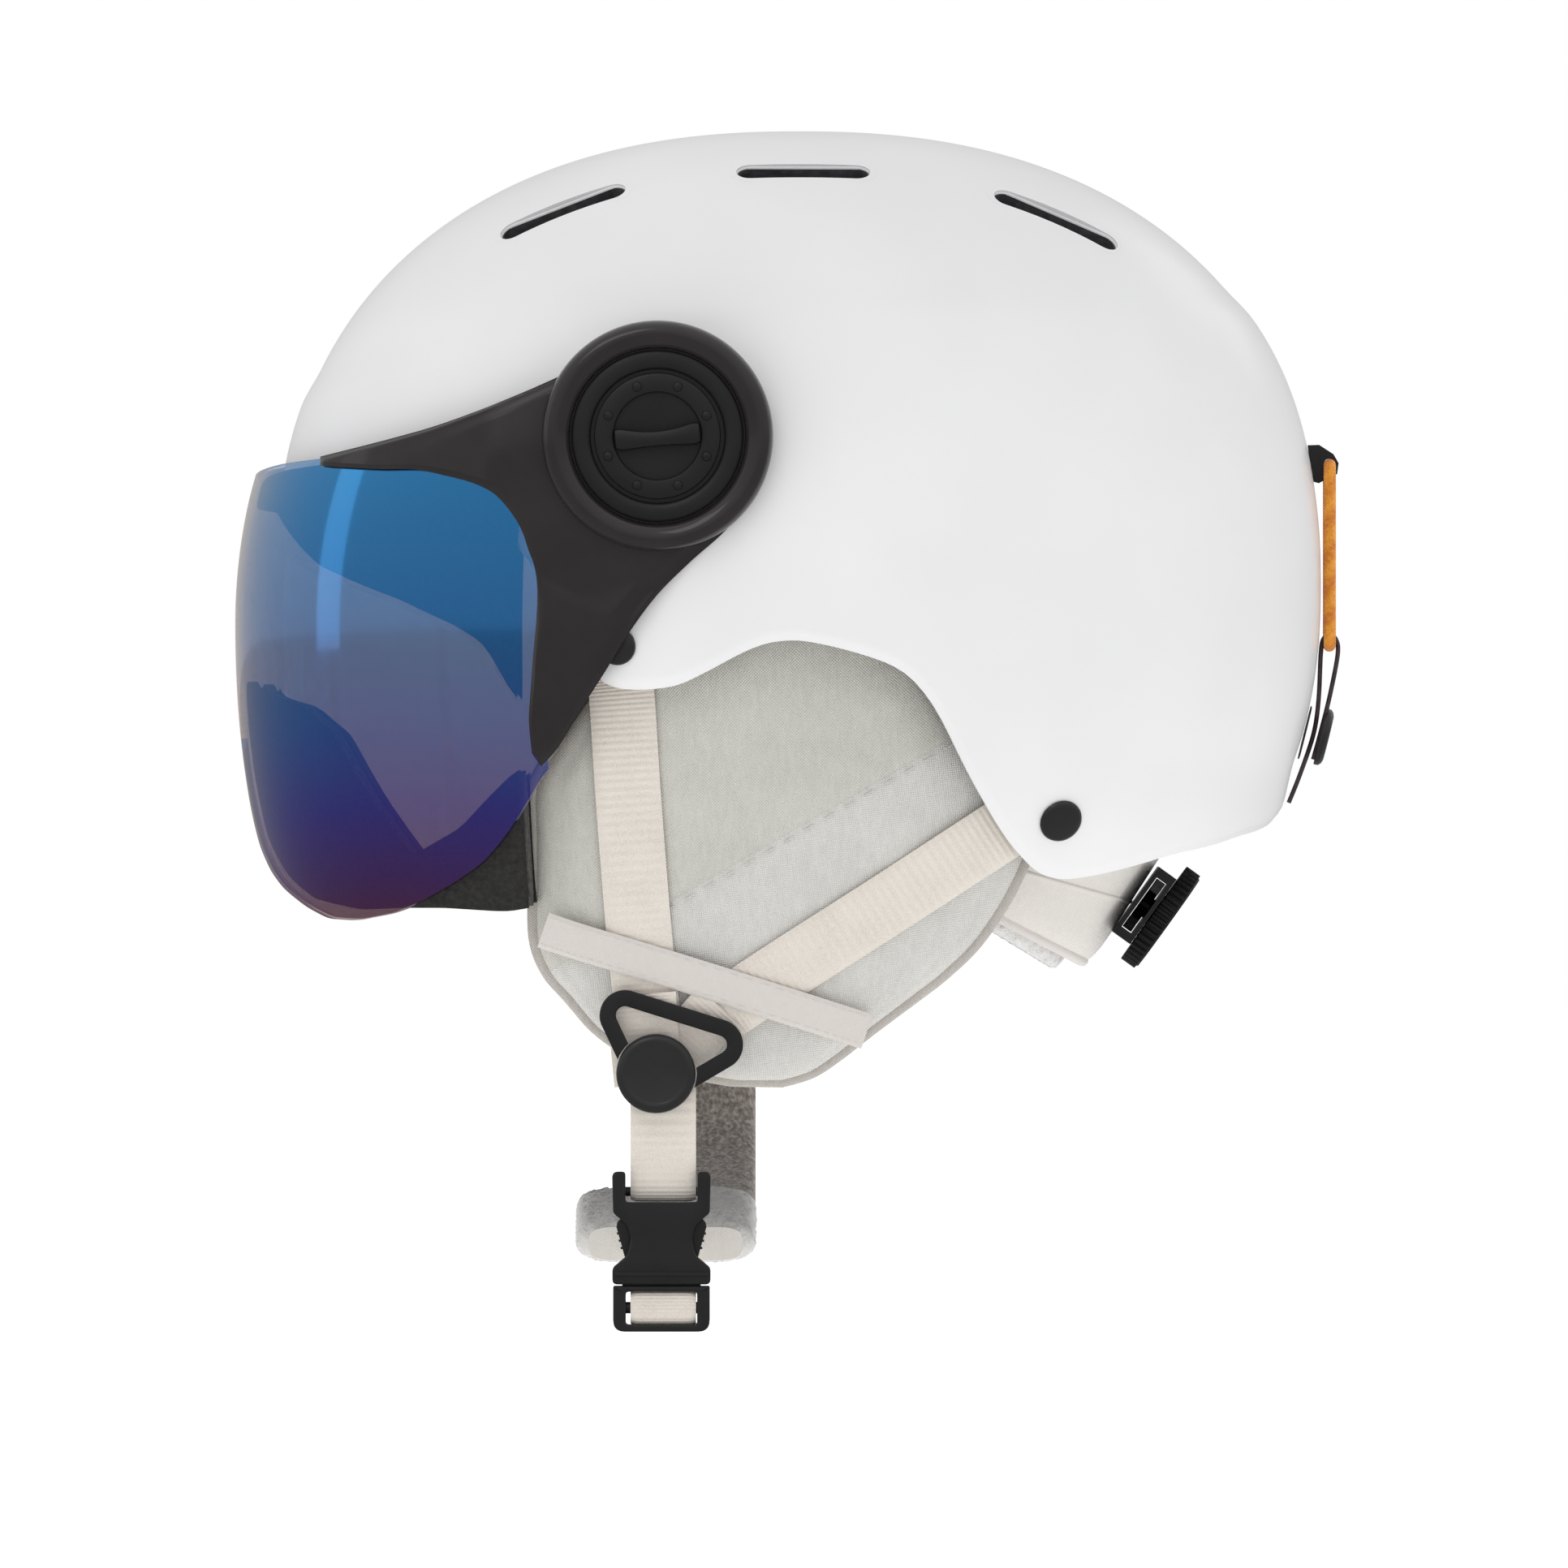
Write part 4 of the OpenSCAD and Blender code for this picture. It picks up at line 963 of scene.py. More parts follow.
PEDESTAL_R = 21.5
COLLAR = [(24.0, 0.6), (31.0, 0.0), (31.7, 0.5), (31.75, 3.0), (31.5, 4.6), (30.9, 6.0), (29.9, 7.1),
          (28.6, 7.6), (27.2, 7.45), (25.8, 6.8), (24.7, 5.9), (24.15, 5.0)]
FLOOR = [(8.1, 0.0), (30.0, 0.0), (30.0, 1.9), (8.1, 1.9)]
RING = [(18.35, 0.0), (23.55, 0.0), (23.6, 2.9), (23.3, 3.6), (22.7, 4.0), (20.2, 4.05), (19.2, 3.8),
        (18.6, 3.3), (18.35, 2.6)]
DIAL = [(0.01, 0.0), (17.2, 0.0), (17.3, 0.3), (17.3, 2.8), (17.1, 3.3), (16.5, 3.6), (12.7, 3.6),
        (12.25, 3.45), (12.05, 3.1), (11.95, 2.35), (0.01, 2.2)]


def grip_bar():
    rings = []
    for k in range(25):
        s = -1 + 2 * k / 24
        half = (2.1 + 1.5 * s * s) * (1 - 0.25 * abs(s) ** 12)
        top = 6.0 - 0.9 * s * s
        flank = [(half, 2.1), (half * 0.98, top - 1.2), (half * 0.86, top - 0.5), (half * 0.55, top - 0.08)]
        section = flank + [(0, top + 0.05)] + [(-y, z) for y, z in reversed(flank)]
        bow = 0.7 * (1 - s * s)
        rings.append([(11.5 * s, y + bow, z) for y, z in section])
    return loft(rings)


def bump_dome(r, h):
    return lathe([(0.01, -0.4), (r, -0.4), (r, 0.0), (r * 0.86, h * 0.55), (r * 0.5, h * 0.9), (0.01, h)], 20)


def make_hub(name, side):
    def add(label, shape, body, slot, mat, angle, replaces):
        add_mesh(f"{label}_{name}", *side_of(shape, side), body, slot, mat, angle, [f"{replaces}_{name}"])

    arm = joined(frame_shape(), about_hub(lathe(COLLAR, 144), HUB_FLOOR), about_hub(lathe(FLOOR, 96), HUB_FLOOR))
    add("visor_arm", arm, "visor", "visor_frame", FRAME_GLOSS, 42, "visor_frame")
    ring = about_hub(lathe(RING, 144), HUB_FLOOR + 1.95)
    add("hub_ring_cap", ring, "visor", "black_plastic", BLACK_SATIN, 35, "hub_ring")
    bumps = [placed(bump_dome(1.35, 0.6), Matrix.Rotation(math.radians(45 * i + 22.5), 4, "Z")
                    @ Matrix.Translation((14.6, 0, 3.6))) for i in range(8)]
    bar = placed(grip_bar(), Matrix.Rotation(math.radians(-5), 4, "Z"))
    dial = about_hub(joined(lathe(DIAL, 144), bar, *bumps), HUB_FLOOR + 2.4)
    add("hub_knob", dial, f"hub_knob_{name}", "black_plastic", BLACK_SATIN, 35, "hub_dial")
    rim = [(HUB[0] + PEDESTAL_R * math.cos(a), HUB[1] + PEDESTAL_R * math.sin(a))
           for a in (-2 * math.pi * k / 72 for k in range(72))]
    wall = [[(x, shell_y(x, z) + 0.15, z) for x, z in rim], [(x, HUB_FLOOR - 0.4, z) for x, z in rim]]
    axle = about_hub(lathe([(0.01, -2), (8, -2), (8, 1.5), (7.6, 1.9), (0.01, 1.9)], 64), HUB_FLOOR)
    add("hub_pedestal", joined(loft(wall), axle), "helmet", "black_plastic", BLACK, 40, "hub_base")


make_lens()
for side_name, side_sign in SIDES.items():
    make_hub(side_name, side_sign)

# ---------------------------------------------------------------- pads inside the head space


def cavity_cushion(az0, az1, el0, el1, seams):
    """Sewn pad on the liner, with stitched channels at fractions of its length."""
    def face(depth):
        def at(u, v):
            puff = math.sqrt((1 - abs(2 * u - 1) ** 8) * (1 - abs(2 * v - 1) ** 6))
            for s in seams:
                puff *= 1 - 0.5 * math.exp(-((u - s) * (az1 - az0) / 1.1) ** 2)
            return cavity_point(mix(az0, az1, u), mix(el0, el1, v), -1.5 - depth * (0.8 + 3.6 * puff))
        return at
    return slab(face(0), face(1), max(24, int(abs(az1 - az0))), 24)


def make_comfort_pads():
    pads = {"brow_pad": [(118, 242, 14, 34, (0.2, 0.4, 0.6, 0.8))],      # azimuths, elevations, seams
            "rear_pad": [(-44, 44, -16, 8, (0.33, 0.67))],
            "side_pad_right": [(58, 112, 14, 36, (0.5,))], "side_pad_left": [(-112, -58, 14, 36, (0.5,))],
            "crown_pad": [(az - 38, az + 38, 44, 74, (0.5,)) for az in (45, 135, 225, 315)]}
    for name, parts in pads.items():
        shape = joined(*(cavity_cushion(*p) for p in parts))
        piece = add_mesh(name + "_cushion", *shape, "helmet", "comfort_fabric", LINING, 55, replaces=[name])


# ---------------------------------------------------------------- ear pads and their straps

EAR_EDGES = [(-137, -17, -5), (-134.5, -30, 3), (-130, -44, 10), (-123, -55, 19), (-114, -63, 31),
             (-107, -69, 40), (-98, -72.4, 49), (-84, -72.7, 58), (-70, -72.7, 63), (-56, -72.6, 59),
             (-46, -67, 51), (-34, -59, 43), (-22, -50, 34), (-12, -38, 22), (-6, -24, 6)]


def ear_y(x, z):
    """Outer face of the right-hand ear pad."""
    return 95 - (x + 5) ** 2 / 700 - (z + 15) ** 2 / 900 - 0.0016 * max(0, x) * max(0, -z)


def ear_face(out):
    def at(u, v):
        z, front, rear = spline(EAR_EDGES, u)
        x = mix(front, rear, v)
        plump = math.sqrt((1 - abs(2 * u - 1) ** 8) * (1 - abs(2 * v - 1) ** 6))
        y = ear_y(x, z) + (6 * plump - 6 if out else -10 - 6 * plump)
        if out:
            seam = seam_distance(x, z)
            crumple = noise.noise(Vector((x, 0, z)) / 17) * 0.7 + noise.noise(Vector((x, 9, z)) / 6) * 0.18
            hem = 0.4 * math.exp(-((min(v, 1 - v) - 0.05) * 60) ** 2)
            y += plump * (crumple - 0.55 * math.exp(-(seam / 0.8) ** 2)) - hem
        return x, min(y, ear_y(x, z) + 0.35), z
    return at


def seam_distance(x, z):
    """Signed distance from the seam between the two canvas panels; above it is positive."""
    return (z - SEAM_Z - SEAM_SLOPE * (x - SEAM_X)) * 0.866


def tube(path, radius, ref, steps=12, closed=False):
    """Round tube along a path; ref is a direction that the path never runs along."""
    path = [Vector(p) for p in path]
    rings, n = [], len(path)
    for i, p in enumerate(path):
        before, after = path[i - 1 if i or closed else 0], path[(i + 1) % n if i < n - 1 or closed else i]
        t = (after - before).normalized()
        side = t.cross(Vector(ref)).normalized()
        up = side.cross(t)
        angles = [2 * math.pi * k / steps for k in range(steps)]
        rings.append([p + radius * (side * math.cos(a) + up * math.sin(a)) for a in angles])
    if closed:
        return [q for r in rings for q in r], grid_faces(n, steps, close_u=True, close_v=True, flip=True)
    return loft(rings)


def webbing(at, length, thick, pitch=1.7, nv=12, step=0.4):
    """Flat band: at(u, v, h) is a point h above its middle; ribs run across it between plain selvedges."""
    def face(sign):
        def f(u, v):
            edge = abs(2 * v - 1)
            rib = 0.12 * math.cos(2 * math.pi * u * length / pitch) * (1 - edge ** 14) if pitch else 0
            return at(u, v, sign * (thick / 2 * (1 - 0.7 * edge ** 14) + rib))
        return f
    return slab(face(1), face(-1), int(length / step), nv)


def step_along(route, u, gap=0.01):
    """Point at fraction u of a route, and the way that the route runs there."""
    way = Vector(spline(route, min(1, u + gap))) - Vector(spline(route, max(0, u - gap)))
    return spline(route, u), way.normalized()


def on_ear(route, width, mid):
    """Band that lies on the ear pad along a side-view route, its middle a height above the pad."""
    def at(u, v, h):
        p, t = step_along(route, u, 0.02)
        x, z = p[0] + t.y * (v - 0.5) * width, p[1] - t.x * (v - 0.5) * width
        return x, ear_y(x, z) + mid + h, z
    return at


def hanging(route, x0, x1):
    """Band that hangs in YZ planes along a route of (y, z), between two places along X."""
    def at(u, v, h):
        p, t = step_along(route, u)
        return mix(x0, x1, v), p[0] + t.y * h, p[1] - t.x * h
    return at


def route_length(route):
    return sum((Vector(a) - Vector(b)).length for a, b in zip(route, route[1:]))


def stitches(at, length, v, pitch=2.6, height=0.0):
    """A row of short raised threads along a band at a fraction v of its width."""
    n = int(length / pitch)
    return joined(*(tube([at((k + s) / n, v, height) for s in (0.1, 0.35, 0.6)], 0.16, (0.3, 0.9, 0.1), 5)
                    for k in range(1, n - 1)))


FRONT_ROUTE = [(-50, -22), (-48.8, -32), (-47, -60), (-44, -98), (-41.5, -121)]
REAR_ROUTE = [(66, -61.5), (55, -68.5), (25, -88), (-7, -108.5), (-24, -120)]
KEEPER_ROUTE = [(-70.5, -95.5), (-60, -99), (-35, -106.5), (0, -117.5), (18.5, -123.5)]
DIVIDER = [(-48, -119), (-22.5, -127), (-39.5, -137)]      # middles of the ring's rounded corners
BUTTON_AT = (-39.5, 0.0, -135)
FOLDS = [([(-43.5, -113), (-42.8, -124), (-41.5, -138)], 19, 3.4),
         ([(-22, -116.5), (-29.5, -125), (-37, -134)], 16, 2.0)]
BUTTON_PROFILE = [(0.01, 85), (10.5, 85), (10.9, 85.4), (10.9, 88.3), (10.6, 89.1), (9.8, 89.7), (8.9, 89.85),
                  (8.3, 89.6), (7.9, 89.45), (0.01, 89.7)]


def side_plate(outline, y0, y1, bevel, holes=()):
    """Plate drawn in the side view and thick along Y."""
    flip = lambda loop: [(p[0], -p[1]) for p in loop]
    shape = plate(flip(outline), y0, y1, bevel, [flip(h) for h in holes])
    return placed(shape, Matrix.Rotation(-math.pi / 2, 4, "X"))


def divider_outline(r, steps=90):
    out = []
    for k in range(steps):
        d = Vector((math.cos(2 * math.pi * k / steps), math.sin(2 * math.pi * k / steps)))
        out.append(max((Vector(c) for c in DIVIDER), key=lambda c: c.dot(d)) + r * d)
    return out


def make_ear_side(name, side):
    def add(label, shape, slot, mat, angle=45, replaces=None):
        return add_mesh(f"{label}_{name}", *side_of(shape, side), "helmet", slot, mat, angle,
                        [f"{replaces}_{name}"] if replaces else ())

    shape = slab(ear_face(True), ear_face(False), 150, 120)
    pad = add("ear_cushion", shape, "ear_fabric", EAR_CANVAS, 60, "ear_pad")
    rear = [spline(EAR_EDGES, 0.62 * k / 60) for k in range(61)]
    front = [spline(EAR_EDGES, 0.74 * k / 60) for k in range(60, 0, -1)]
    edge = [(p[1] - 0.2, ear_y(p[1], p[0]) - 7, p[0]) for p in front]
    edge += [(p[2] + 0.2, ear_y(p[2], p[0]) - 7, p[0]) for p in rear]
    binding = add("ear_binding", tube(edge, 2.0, (0, 1, 0), 16), "ear_fabric", LACE, 60)
    seam = [(x, SEAM_Z + SEAM_SLOPE * (x - SEAM_X) - 1.6) for x in (mix(-62, 48, k / 40) for k in range(41))]
    seam = [(x, ear_y(x, z) + 0.25, z) for x, z in seam]
    threads = [tube(seam[k:k + 2], 0.17, (0, 1, 0), 5) for k in range(1, 40, 2)]
    add("ear_stitching", joined(*threads), "ear_fabric", BAND)
    for label, route, width in (("front", FRONT_ROUTE, 18), ("rear", REAR_ROUTE, 17)):
        strap = webbing(on_ear(route, width, 1.2), route_length(route), 1.4)
        add(f"strap_{label}_webbing", strap, "webbing", WEBBING, 60, f"strap_{label}")
    keeper_at, length = on_ear(KEEPER_ROUTE, 10, 2.7), route_length(KEEPER_ROUTE)
    tape = webbing(keeper_at, length, 1.0, pitch=0, step=1.5)
    add("keeper_tape", tape, "keeper_fabric", BAND, 60, "keeper_band")
    rows = [stitches(keeper_at, length, v, height=0.5) for v in (0.12, 0.88)]
    add("keeper_stitching", joined(*rows), "keeper_fabric", BAND)
    plate_shape = side_plate(divider_outline(7), 84.9, 88.1, 0.7, [divider_outline(2.5)])
    ring = add("divider_ring", plate_shape, "black_plastic", BLACK, 35, "strap_divider")
    cut(ring, side_of(facing_y(lathe([(0.01, 60), (11.2, 60), (11.2, 110), (0.01, 110)], 64), *BUTTON_AT), side))
    sharpen(ring, 35)
    folds = [webbing(on_ear(route, width, mid), route_length(route), 1.3, 1.4) for route, width, mid in FOLDS]
    add("divider_webbing", joined(*folds), "webbing", WEBBING, 60)
    cap = facing_y(lathe(BUTTON_PROFILE, 96), *BUTTON_AT)
    add("divider_cap", cap, "black_rubber", RUBBER, 35, "divider_button")


make_comfort_pads()
for side_name, side_sign in SIDES.items():
    make_ear_side(side_name, side_sign)

# ---------------------------------------------------------------- hanging straps and chin pad

LOWER_ROUTE = [(-82.6, -134), (-83.8, -142), (-83, -153), (-81.5, -160), (-79.9, -166.6), (-78.3, -169.3),
               (-76.3, -168.8), (-75.7, -166.2), (-77.3, -160), (-79.8, -152)]
CHIN_ROUTE = [(-54, -189.5), (-40, -185), (-23, -180.5), (0, -177.5), (25, -174.5), (50, -166), (70, -153),
              (82.5, -137.5)]
END_ROUTE = [(-80.6, -194.9), (-82.9, -196.2), (-83.6, -199), (-83.0, -202.2), (-80.4, -203.6),
             (-76.5, -202.4), (-68, -198), (-54.4, -189.7)]
PAD_ROUTE = [(-31, -182.4), (-14, -179.2), (0, -177.5), (16, -175.9), (33, -172.6)]
STRAP_X = (-28.5, -46.5)
PAD_X = -37.0


def tuft(p, amount):
    """Clumped pile: an offset for a fleece surface."""
    q = Vector(p)
    return amount * (abs(noise.noise(q / 1.9)) * 1.5 + noise.noise(q / 0.8) * 0.5)


def roll_face(sign, half, power, pile, width=24.5, stretch=0.0):
    """Upper or lower face of the chin pad's roll; stretch carries it past the roll's closed ends."""
    route = hanging(PAD_ROUTE, PAD_X + width, PAD_X - width)

    def at(u, v):
        u = mix(-stretch, 1 + stretch, u)
        ends = 1 if stretch else math.sqrt(max(0, 1 - abs(2 * u - 1) ** 16))
        swell = math.sqrt(max(0, 1 - abs(2 * v - 1) ** power)) * ends
        dip = 1.6 * math.exp(-((v - 0.5) / 0.16) ** 2)
        inside = min(1, max(0, u))
        p = route(inside, v, sign * (1.2 + (half - dip) * swell))
        grow = tuft(p, pile) if pile else 0
        return p[0] + grow * (1 - 2 * v) * 0.8, p[1] + (u - inside) * 66, p[2] + sign * grow
    return at


def sleeve_face(sign):
    route = hanging(CHIN_ROUTE, -12.2, -43)

    def at(u, v):
        swell = 1 - 0.8 * abs(2 * v - 1) ** 10
        ripple = noise.noise(Vector((u * 60, v * 9, sign * 5)) / 3.5) * 0.35
        return route(mix(0.60, 0.985, u), v, sign * 2.4 * swell + ripple)
    return at


def make_hanging():
    def strap(label, route, body, node):
        shape = webbing(hanging(route, *STRAP_X), route_length(route), 1.4)
        return add_mesh(label, *shape, body, "webbing", WEBBING, 60, [node])

    strap("lower_strap_webbing", LOWER_ROUTE, "helmet", "lower_strap_left")
    strap("chin_strap_webbing", CHIN_ROUTE, "helmet", "chin_strap")
    end = strap("chin_strap_end_webbing", END_ROUTE, None, "chin_strap_end")
    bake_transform(end)
    shape = slab(roll_face(1, 5.4, 5, 0.9), roll_face(-1, 5.4, 5, 0.9), 110, 90)
    roll = add_mesh("chin_pad_fleece", *shape, "helmet", "fleece", FLEECE, None, ["chin_pad"])
    shape = slab(*(roll_face(sign, 3.6, 8, 0, 21.5, 0.03) for sign in (1, -1)), 60, 40)
    core = add_mesh("chin_pad_core", *shape, "helmet", "fleece", NECK, 50)
    shape = slab(sleeve_face(1), sleeve_face(-1), 110, 40)
    sleeve = add_mesh("chin_sleeve_knit", *shape, "helmet", "heather_fabric", HEATHER, 60, ["chin_sleeve"])


# ---------------------------------------------------------------- side-release buckle

BUCKLE = Matrix.Translation((-38, -80, 0))
SOCKET = [(-13.5, -193), (13.5, -193), (13.5, -188.4, 2), (9.4, -185, 3), (8.3, -180.5, 5), (9.4, -176.6, 3),
          (13.3, -173.4, 2), (13.6, -162, 1.6), (9.9, -162, 1), (9.9, -170.4, 1), (-9.9, -170.4, 1),
          (-9.9, -162, 1), (-13.6, -162, 1.6), (-13.3, -173.4, 2), (-9.4, -176.6, 3), (-8.3, -180.5, 5),
          (-9.4, -185, 3), (-13.5, -188.4, 2)]
LIP = [(-12.9, -190.7), (12.9, -190.7), (12.9, -189.7), (-12.9, -189.7)]
WINDOW = [(-9.8, -204), (9.8, -204), (9.8, -195), (-9.8, -195)]
PLUG_NECK = [(-10.8, -193.8), (10.8, -193.8), (10.8, -191.2), (6.4, -189.5), (-6.4, -189.5), (-10.8, -191.2)]
PLUG_TONGUE = [(-2.5, -190), (2.5, -190), (2.2, -178.4), (-2.2, -178.4)]
PLUG = [(-13.3, -193.4, 0.5), (-13.3, -206, 3.2), (13.3, -206, 3.2), (13.3, -193.4, 0.5)]
ARM = [(7.3, -189.5), (9.7, -189.5), (9.8, -186.5), (12.4, -177.2), (12.2, -176), (11.4, -175), (8.6, -175.3),
       (7.5, -177.4)]


def box_shape(x, y, z):
    """Box between pairs of limits."""
    points = [(a, b, c) for a in x for b in y for c in z]
    return points, [(0, 1, 3, 2), (4, 6, 7, 5), (0, 4, 5, 1), (2, 3, 7, 6), (0, 2, 6, 4), (1, 5, 7, 3)]


def make_buckle():
    def add(label, shape, body, replaces=(), angle=35):
        return add_mesh(label, *placed(shape, BUCKLE), body, "black_plastic", BLACK, angle, replaces)

    def bar(outline, radius, half, bevel, holes=()):
        return side_plate(rounded(outline, radius), -half, half, bevel, holes)

    socket = add("buckle_socket_body", bar(SOCKET, 1.4, 4.5, 0.8), "helmet", ["buckle_socket"])
    sides = [box_shape((s * 11 - 4, s * 11 + 4), (-2.8, 2.8), (-187, -174.001)) for s in (-1.3, 1.3)]
    hollow = joined(box_shape((-11.3, 11.3), (-2.8, 2.8), (-194, -174)), *sides)
    cut(socket, placed(hollow, BUCKLE), crossed=True)
    sharpen(socket, 35)
    rod = tube([(-11, 2.4, -167.5), (11, 2.4, -167.5)], 1.3, (0, 0, 1), 24)
    lip = side_plate(rounded(LIP, 0.4), -4.9, -4.3, 0.2)
    add("buckle_socket_bar", joined(rod, lip), "helmet", angle=40)
    plug = [bar(PLUG, 1, 4.3, 0.7, [rounded(WINDOW, 0.9)]),
            bar(PLUG_NECK, 0.5, 2.5, 0.4),
            bar(PLUG_TONGUE, 0.8, 2, 0.4),
            tube([(-9.9, -0.9, -199.4), (9.9, -0.9, -199.4)], 1.6, (0, 0, 1), 24)]
    add("buckle_plug_body", joined(*plug), "buckle_plug", ["buckle_plug"])
    for label, sign in (("rear", 1), ("front", -1)):
        facing = lambda outline: [(sign * x, z) for x, z in outline][::sign]
        grips = []
        for a, b in ((11.9, -179), (11.4, -181), (10.9, -183)):
            grip = [(a - 0.5, b - 0.3), (a + 0.35, b - 0.3), (a + 0.35, b + 0.3), (a - 0.5, b + 0.3)]
            grips.append(side_plate(facing(grip), -1.8, 1.8, 0.1))
        root = tube([(sign * 8.5, -2.2, -189.5), (sign * 8.5, 2.2, -189.5)], 1.7, (0, 0, 1), 24)
        arm = joined(bar(facing(ARM), 0.6, 2.2, 0.4), root, *grips)
        add(f"buckle_arm_{label}_body", arm, f"arm_{label}", [f"buckle_arm_{label}"])


# ---------------------------------------------------------------- rivets, nape, dial and goggle retainer


def rivet(x, z, r):
    """Domed rivet of radius r that stands square on the shell."""
    y = shell_y(x, z)
    out = [math.copysign(abs(c / h) ** (SHELL_N - 1) / h, c) for c, h in zip((x, y, z), SHELL)]
    turn = Vector(out).normalized().to_track_quat("Z", "Y").to_matrix().to_4x4()
    head = lathe([(0.01, -3), (2, -3), (2, 0.3), (r - 0.3, 0.3), (r, 0.6), (r * 0.97, 1.15), (r * 0.85, 1.7),
                  (r * 0.6, 2.15), (r * 0.3, 2.34), (0.01, 2.4)], 64)
    return placed(head, Matrix.Translation((x, y, z)) @ turn)


def nape(az, t, inset):
    """Point on the neck pad's surface: t runs from its top to its lower edge, inset goes inwards."""
    c = math.cos(math.radians(az)) ** 0.8
    return ((mix(110, 81, t) - inset) * c, (mix(84, 68, t) - inset) * math.sin(math.radians(az)),
            mix(-60, mix(-105, -86, (az / 62) ** 2), t))


def nape_band(az, t0, t1, out, inn, puff=0.0, pile=0.0):
    def face(base, sign):
        def at(u, v):
            edge = 1 - math.sqrt((1 - abs(2 * u - 1) ** 12) * (1 - abs(2 * v - 1) ** 6))
            p = nape(mix(-az, az, u), mix(t1, t0, v), base + sign * (inn - out) * 0.42 * edge * puff)
            return tuple(Vector(p) - Vector((p[0], p[1], 0)).normalized() * sign * tuft(p, pile)) if pile else p
        return at
    return slab(face(out, 1), face(inn, -1), 150, 44)


def gear_outline(teeth, low, high):
    out = []
    for k in range(teeth * 4):
        a = 2 * math.pi * (k + (0.25 if k % 2 == 0 else 0)) / (teeth * 4)
        out.append(Vector((math.cos(a), math.sin(a))) * (high if k % 4 in (1, 2) else low))
    return out


def make_nape():
    shape = nape_band(59, 0.17, 0.99, 0, 6, 1.0)
    pad = add_mesh("neck_cushion", *shape, "helmet", "neck_fabric", NECK, 60, ["neck_pad"])
    cords = [tube([nape(-57 + 114 * k / 80, t, inset) for k in range(81)], r, (0, 0, 1), steps)
             for t, inset, r, steps in ((0.985, 3, 1.6, 12), (0.62, 0.4, 0.7, 8))]
    trim = add_mesh("neck_piping", *joined(*cords), "helmet", "neck_fabric", BAND, 60)
    shape = nape_band(58, 0.16, 1.03, 8.3, 11.3, 0.5, 0.8)
    lining = add_mesh("neck_fleece_lining", *shape, "helmet", "fleece", FLEECE, None, ["neck_fleece"])
    dial = Matrix.Translation((99.85, 0, -92.15)) @ Matrix.Rotation(math.radians(125.7), 4, "Y")
    knob = [plate(gear_outline(44, 14.9, 15.7), -2, 2.6, 0.25),
            lathe([(11.2, 2.5), (15, 2.5), (14.6, 3.1), (11.8, 3.2)], 96),
            lathe([(0.01, -6.8), (3, -6.8), (3, -1.9), (0.01, -1.9)], 48),
            plate(gear_outline(10, 3.9, 5.5), -6.8, -4, 0)]
    stud = lathe([(0.01, 2.4), (1.3, 2.4), (1.2, 2.9), (0.8, 3.1), (0.01, 3.15)], 16)
    knob += [placed(stud, Matrix.Rotation(math.radians(60 * i), 4, "Z") @ Matrix.Translation((7.4, 0, 0)))
             for i in range(6)]
    shape = placed(joined(*knob), dial)
    add_mesh("fit_dial_grip", *shape, "fit_dial", "black_plastic", BLACK_SATIN, 30, ["fit_dial_knob"])


LOOP_HALF, LOOP_CORNER, LOOP_DROP = 7.4, 2.6, 50.0
SNAP_CAP = [(0.01, 4.9), (7.9, 4.9), (8, 5.2), (7.9, 6.2), (7.2, 6.9), (6.2, 7.25), (4.4, 7.3), (4.0, 6.9),
            (0.01, 6.9)]
SNAP_BASE = [(0.01, 0.3), (7.6, 0.3), (7.5, 0.7), (6.9, 0.8), (0.01, 0.8)]
TAB_ROUTE = [(135.6, -60.6), (138.8, -52.6), (142.5, -41.5), (143.9, -32), (144.5, -19.5), (145.2, -15.3),
             (146.9, -14.2), (148.7, -15.3), (149.2, -19.5), (147.0, -31), (144.6, -40.6), (142.4, -48.6)]


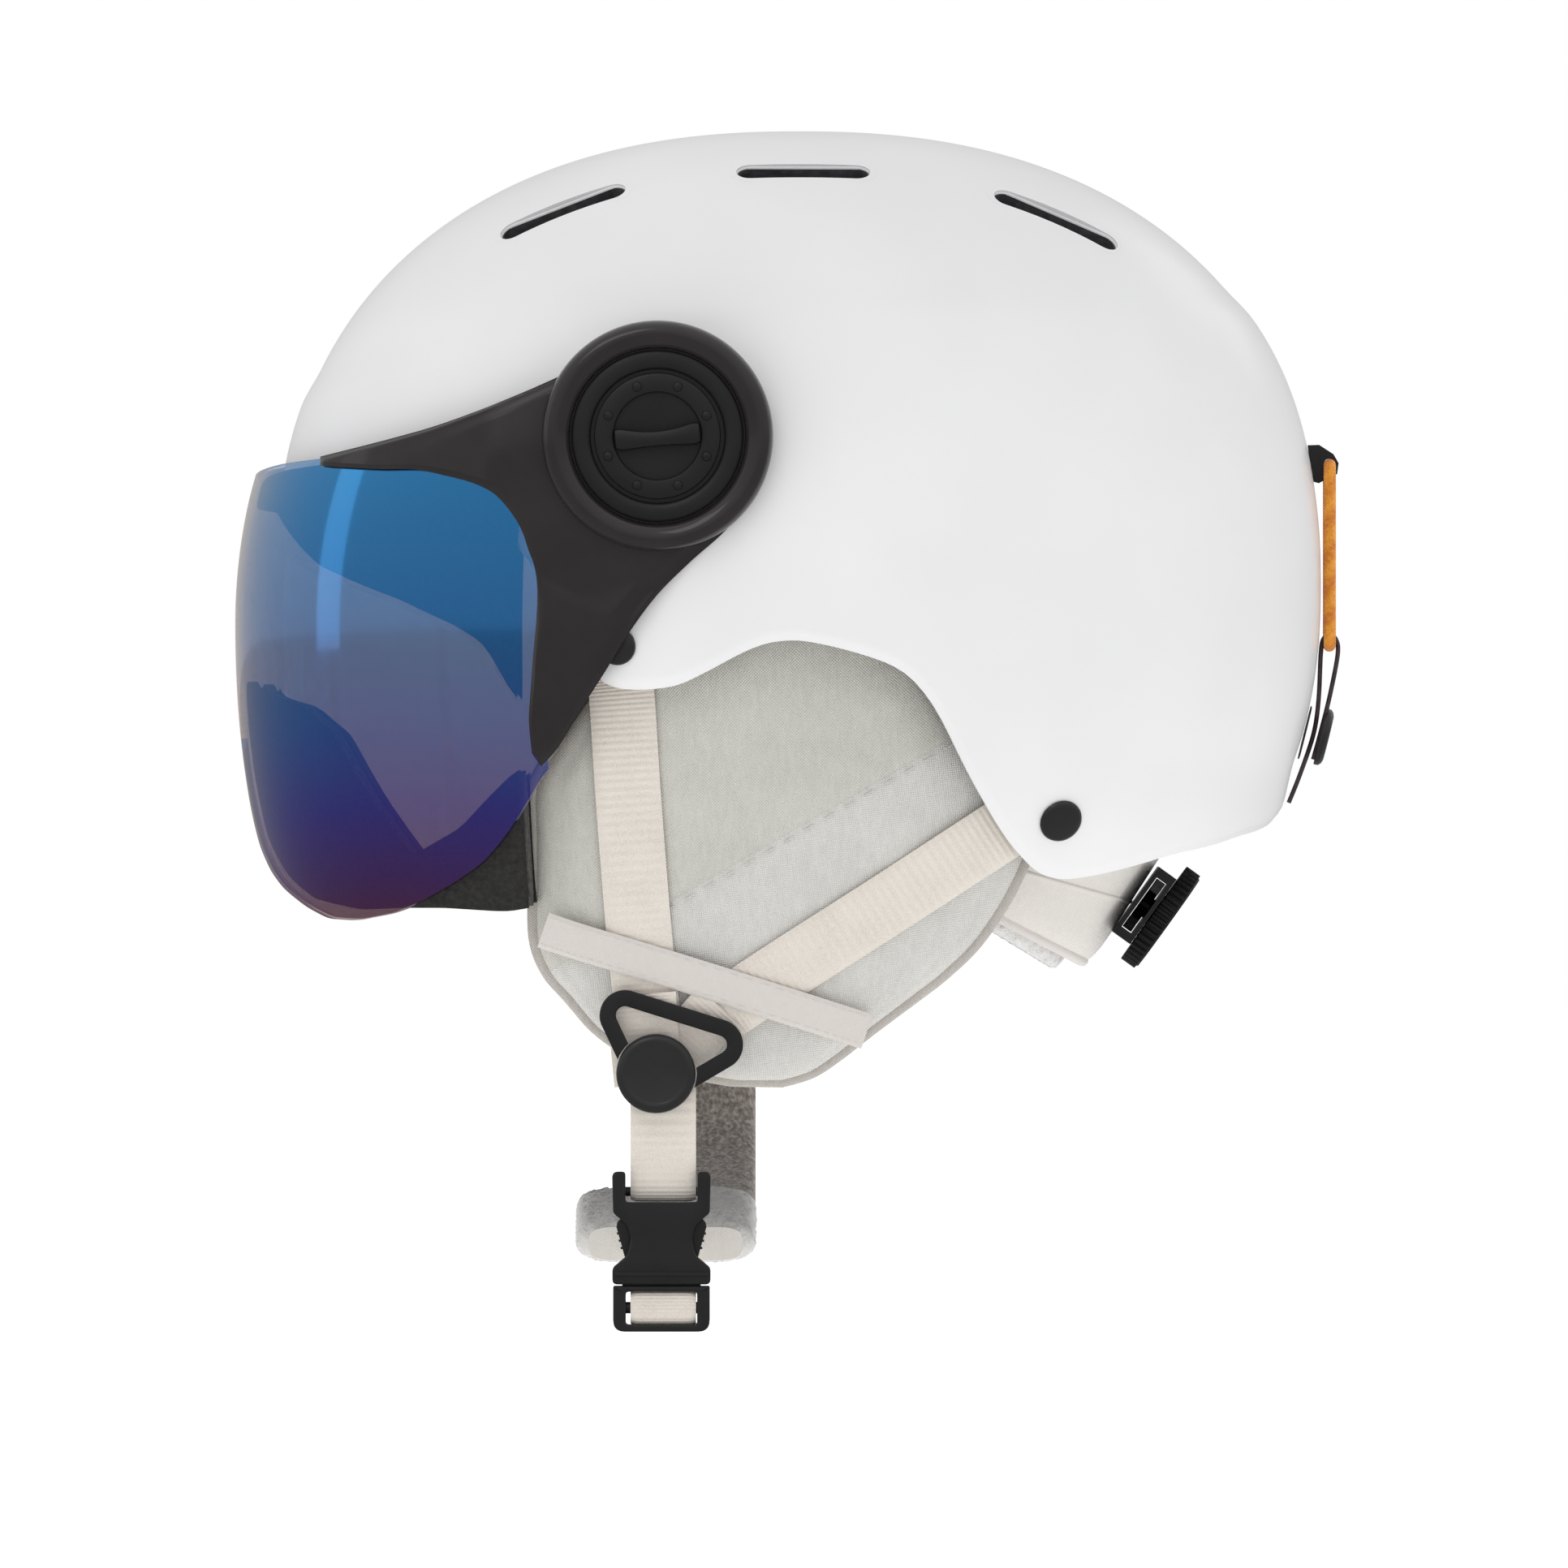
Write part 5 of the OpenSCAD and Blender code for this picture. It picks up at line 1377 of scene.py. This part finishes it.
def tab_at(u, v, h):
    p, t = step_along(TAB_ROUTE, u)
    width = 8.6 * (1 - 0.25 * smooth(0.06, 0, u))
    return p[0] + t.y * h, (0.5 - v) * width, p[1] - t.x * h


def make_goggle_clip():
    corners = [(LOOP_HALF, 0), (LOOP_HALF, -LOOP_DROP), (-LOOP_HALF, -LOOP_DROP), (-LOOP_HALF, 0)]
    loop = [(146.9, p[0], 33 + p[1]) for p in rounded(corners, LOOP_CORNER, 8)]
    cord, strap = tube(loop, 1.7, (1, 0, 0), 16, closed=True), webbing(tab_at, 90, 1.2, pitch=0, nv=16, step=1.0)
    add_mesh("goggle_cord_loop", *cord, "goggle_clip", "elastic", ELASTIC, 60, ["goggle_cord"])
    add_mesh("goggle_tab_strap", *strap, "goggle_clip", "tab_leather", LEATHER, 60, ["goggle_tab"])
    snap = Matrix.Translation((139.6, 0, -41)) @ Matrix.Rotation(math.radians(104), 4, "Y")
    for name, profile, body, node in (("goggle_snap_button", SNAP_CAP, "goggle_clip", "goggle_snap_cap"),
                                      ("goggle_snap_foot", SNAP_BASE, "helmet", "goggle_snap_base")):
        add_mesh(name, *placed(lathe(profile, 64), snap), body, "black_rubber", RUBBER, 35, [node])


def dress(node, mat, bevel):
    """Own material and softened edges on a CAD node that is shown as it is."""
    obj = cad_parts[node]
    obj.data.materials.clear()
    obj.data.materials.append(mat)
    mod = obj.modifiers.new("edges", "BEVEL")
    mod.width, mod.segments, mod.limit_method = bevel * MM, 2, "ANGLE"


make_hanging()
make_buckle()
for label, (x, z, r) in {"front": (-50, -17.6, 5.2), "rear": (71.6, -65.3, 6.1)}.items():
    heads = joined(*(side_of(rivet(x, z, r), side) for side in (LEFT, RIGHT)))
    add_mesh(f"rivet_heads_{label}", *heads, "helmet", "black_rubber", RUBBER, 35, [f"rivets_{label}"])
make_nape()
make_goggle_clip()
dress("fit_cradle", INNER, 0.3)
dress("fit_dial_housing", BLACK, 0.5)
dress("fit_rack_left", RACK_PLASTIC, 0.1)
dress("fit_rack_right", RACK_PLASTIC, 0.1)
dress("goggle_anchor", BLACK, 0.5)
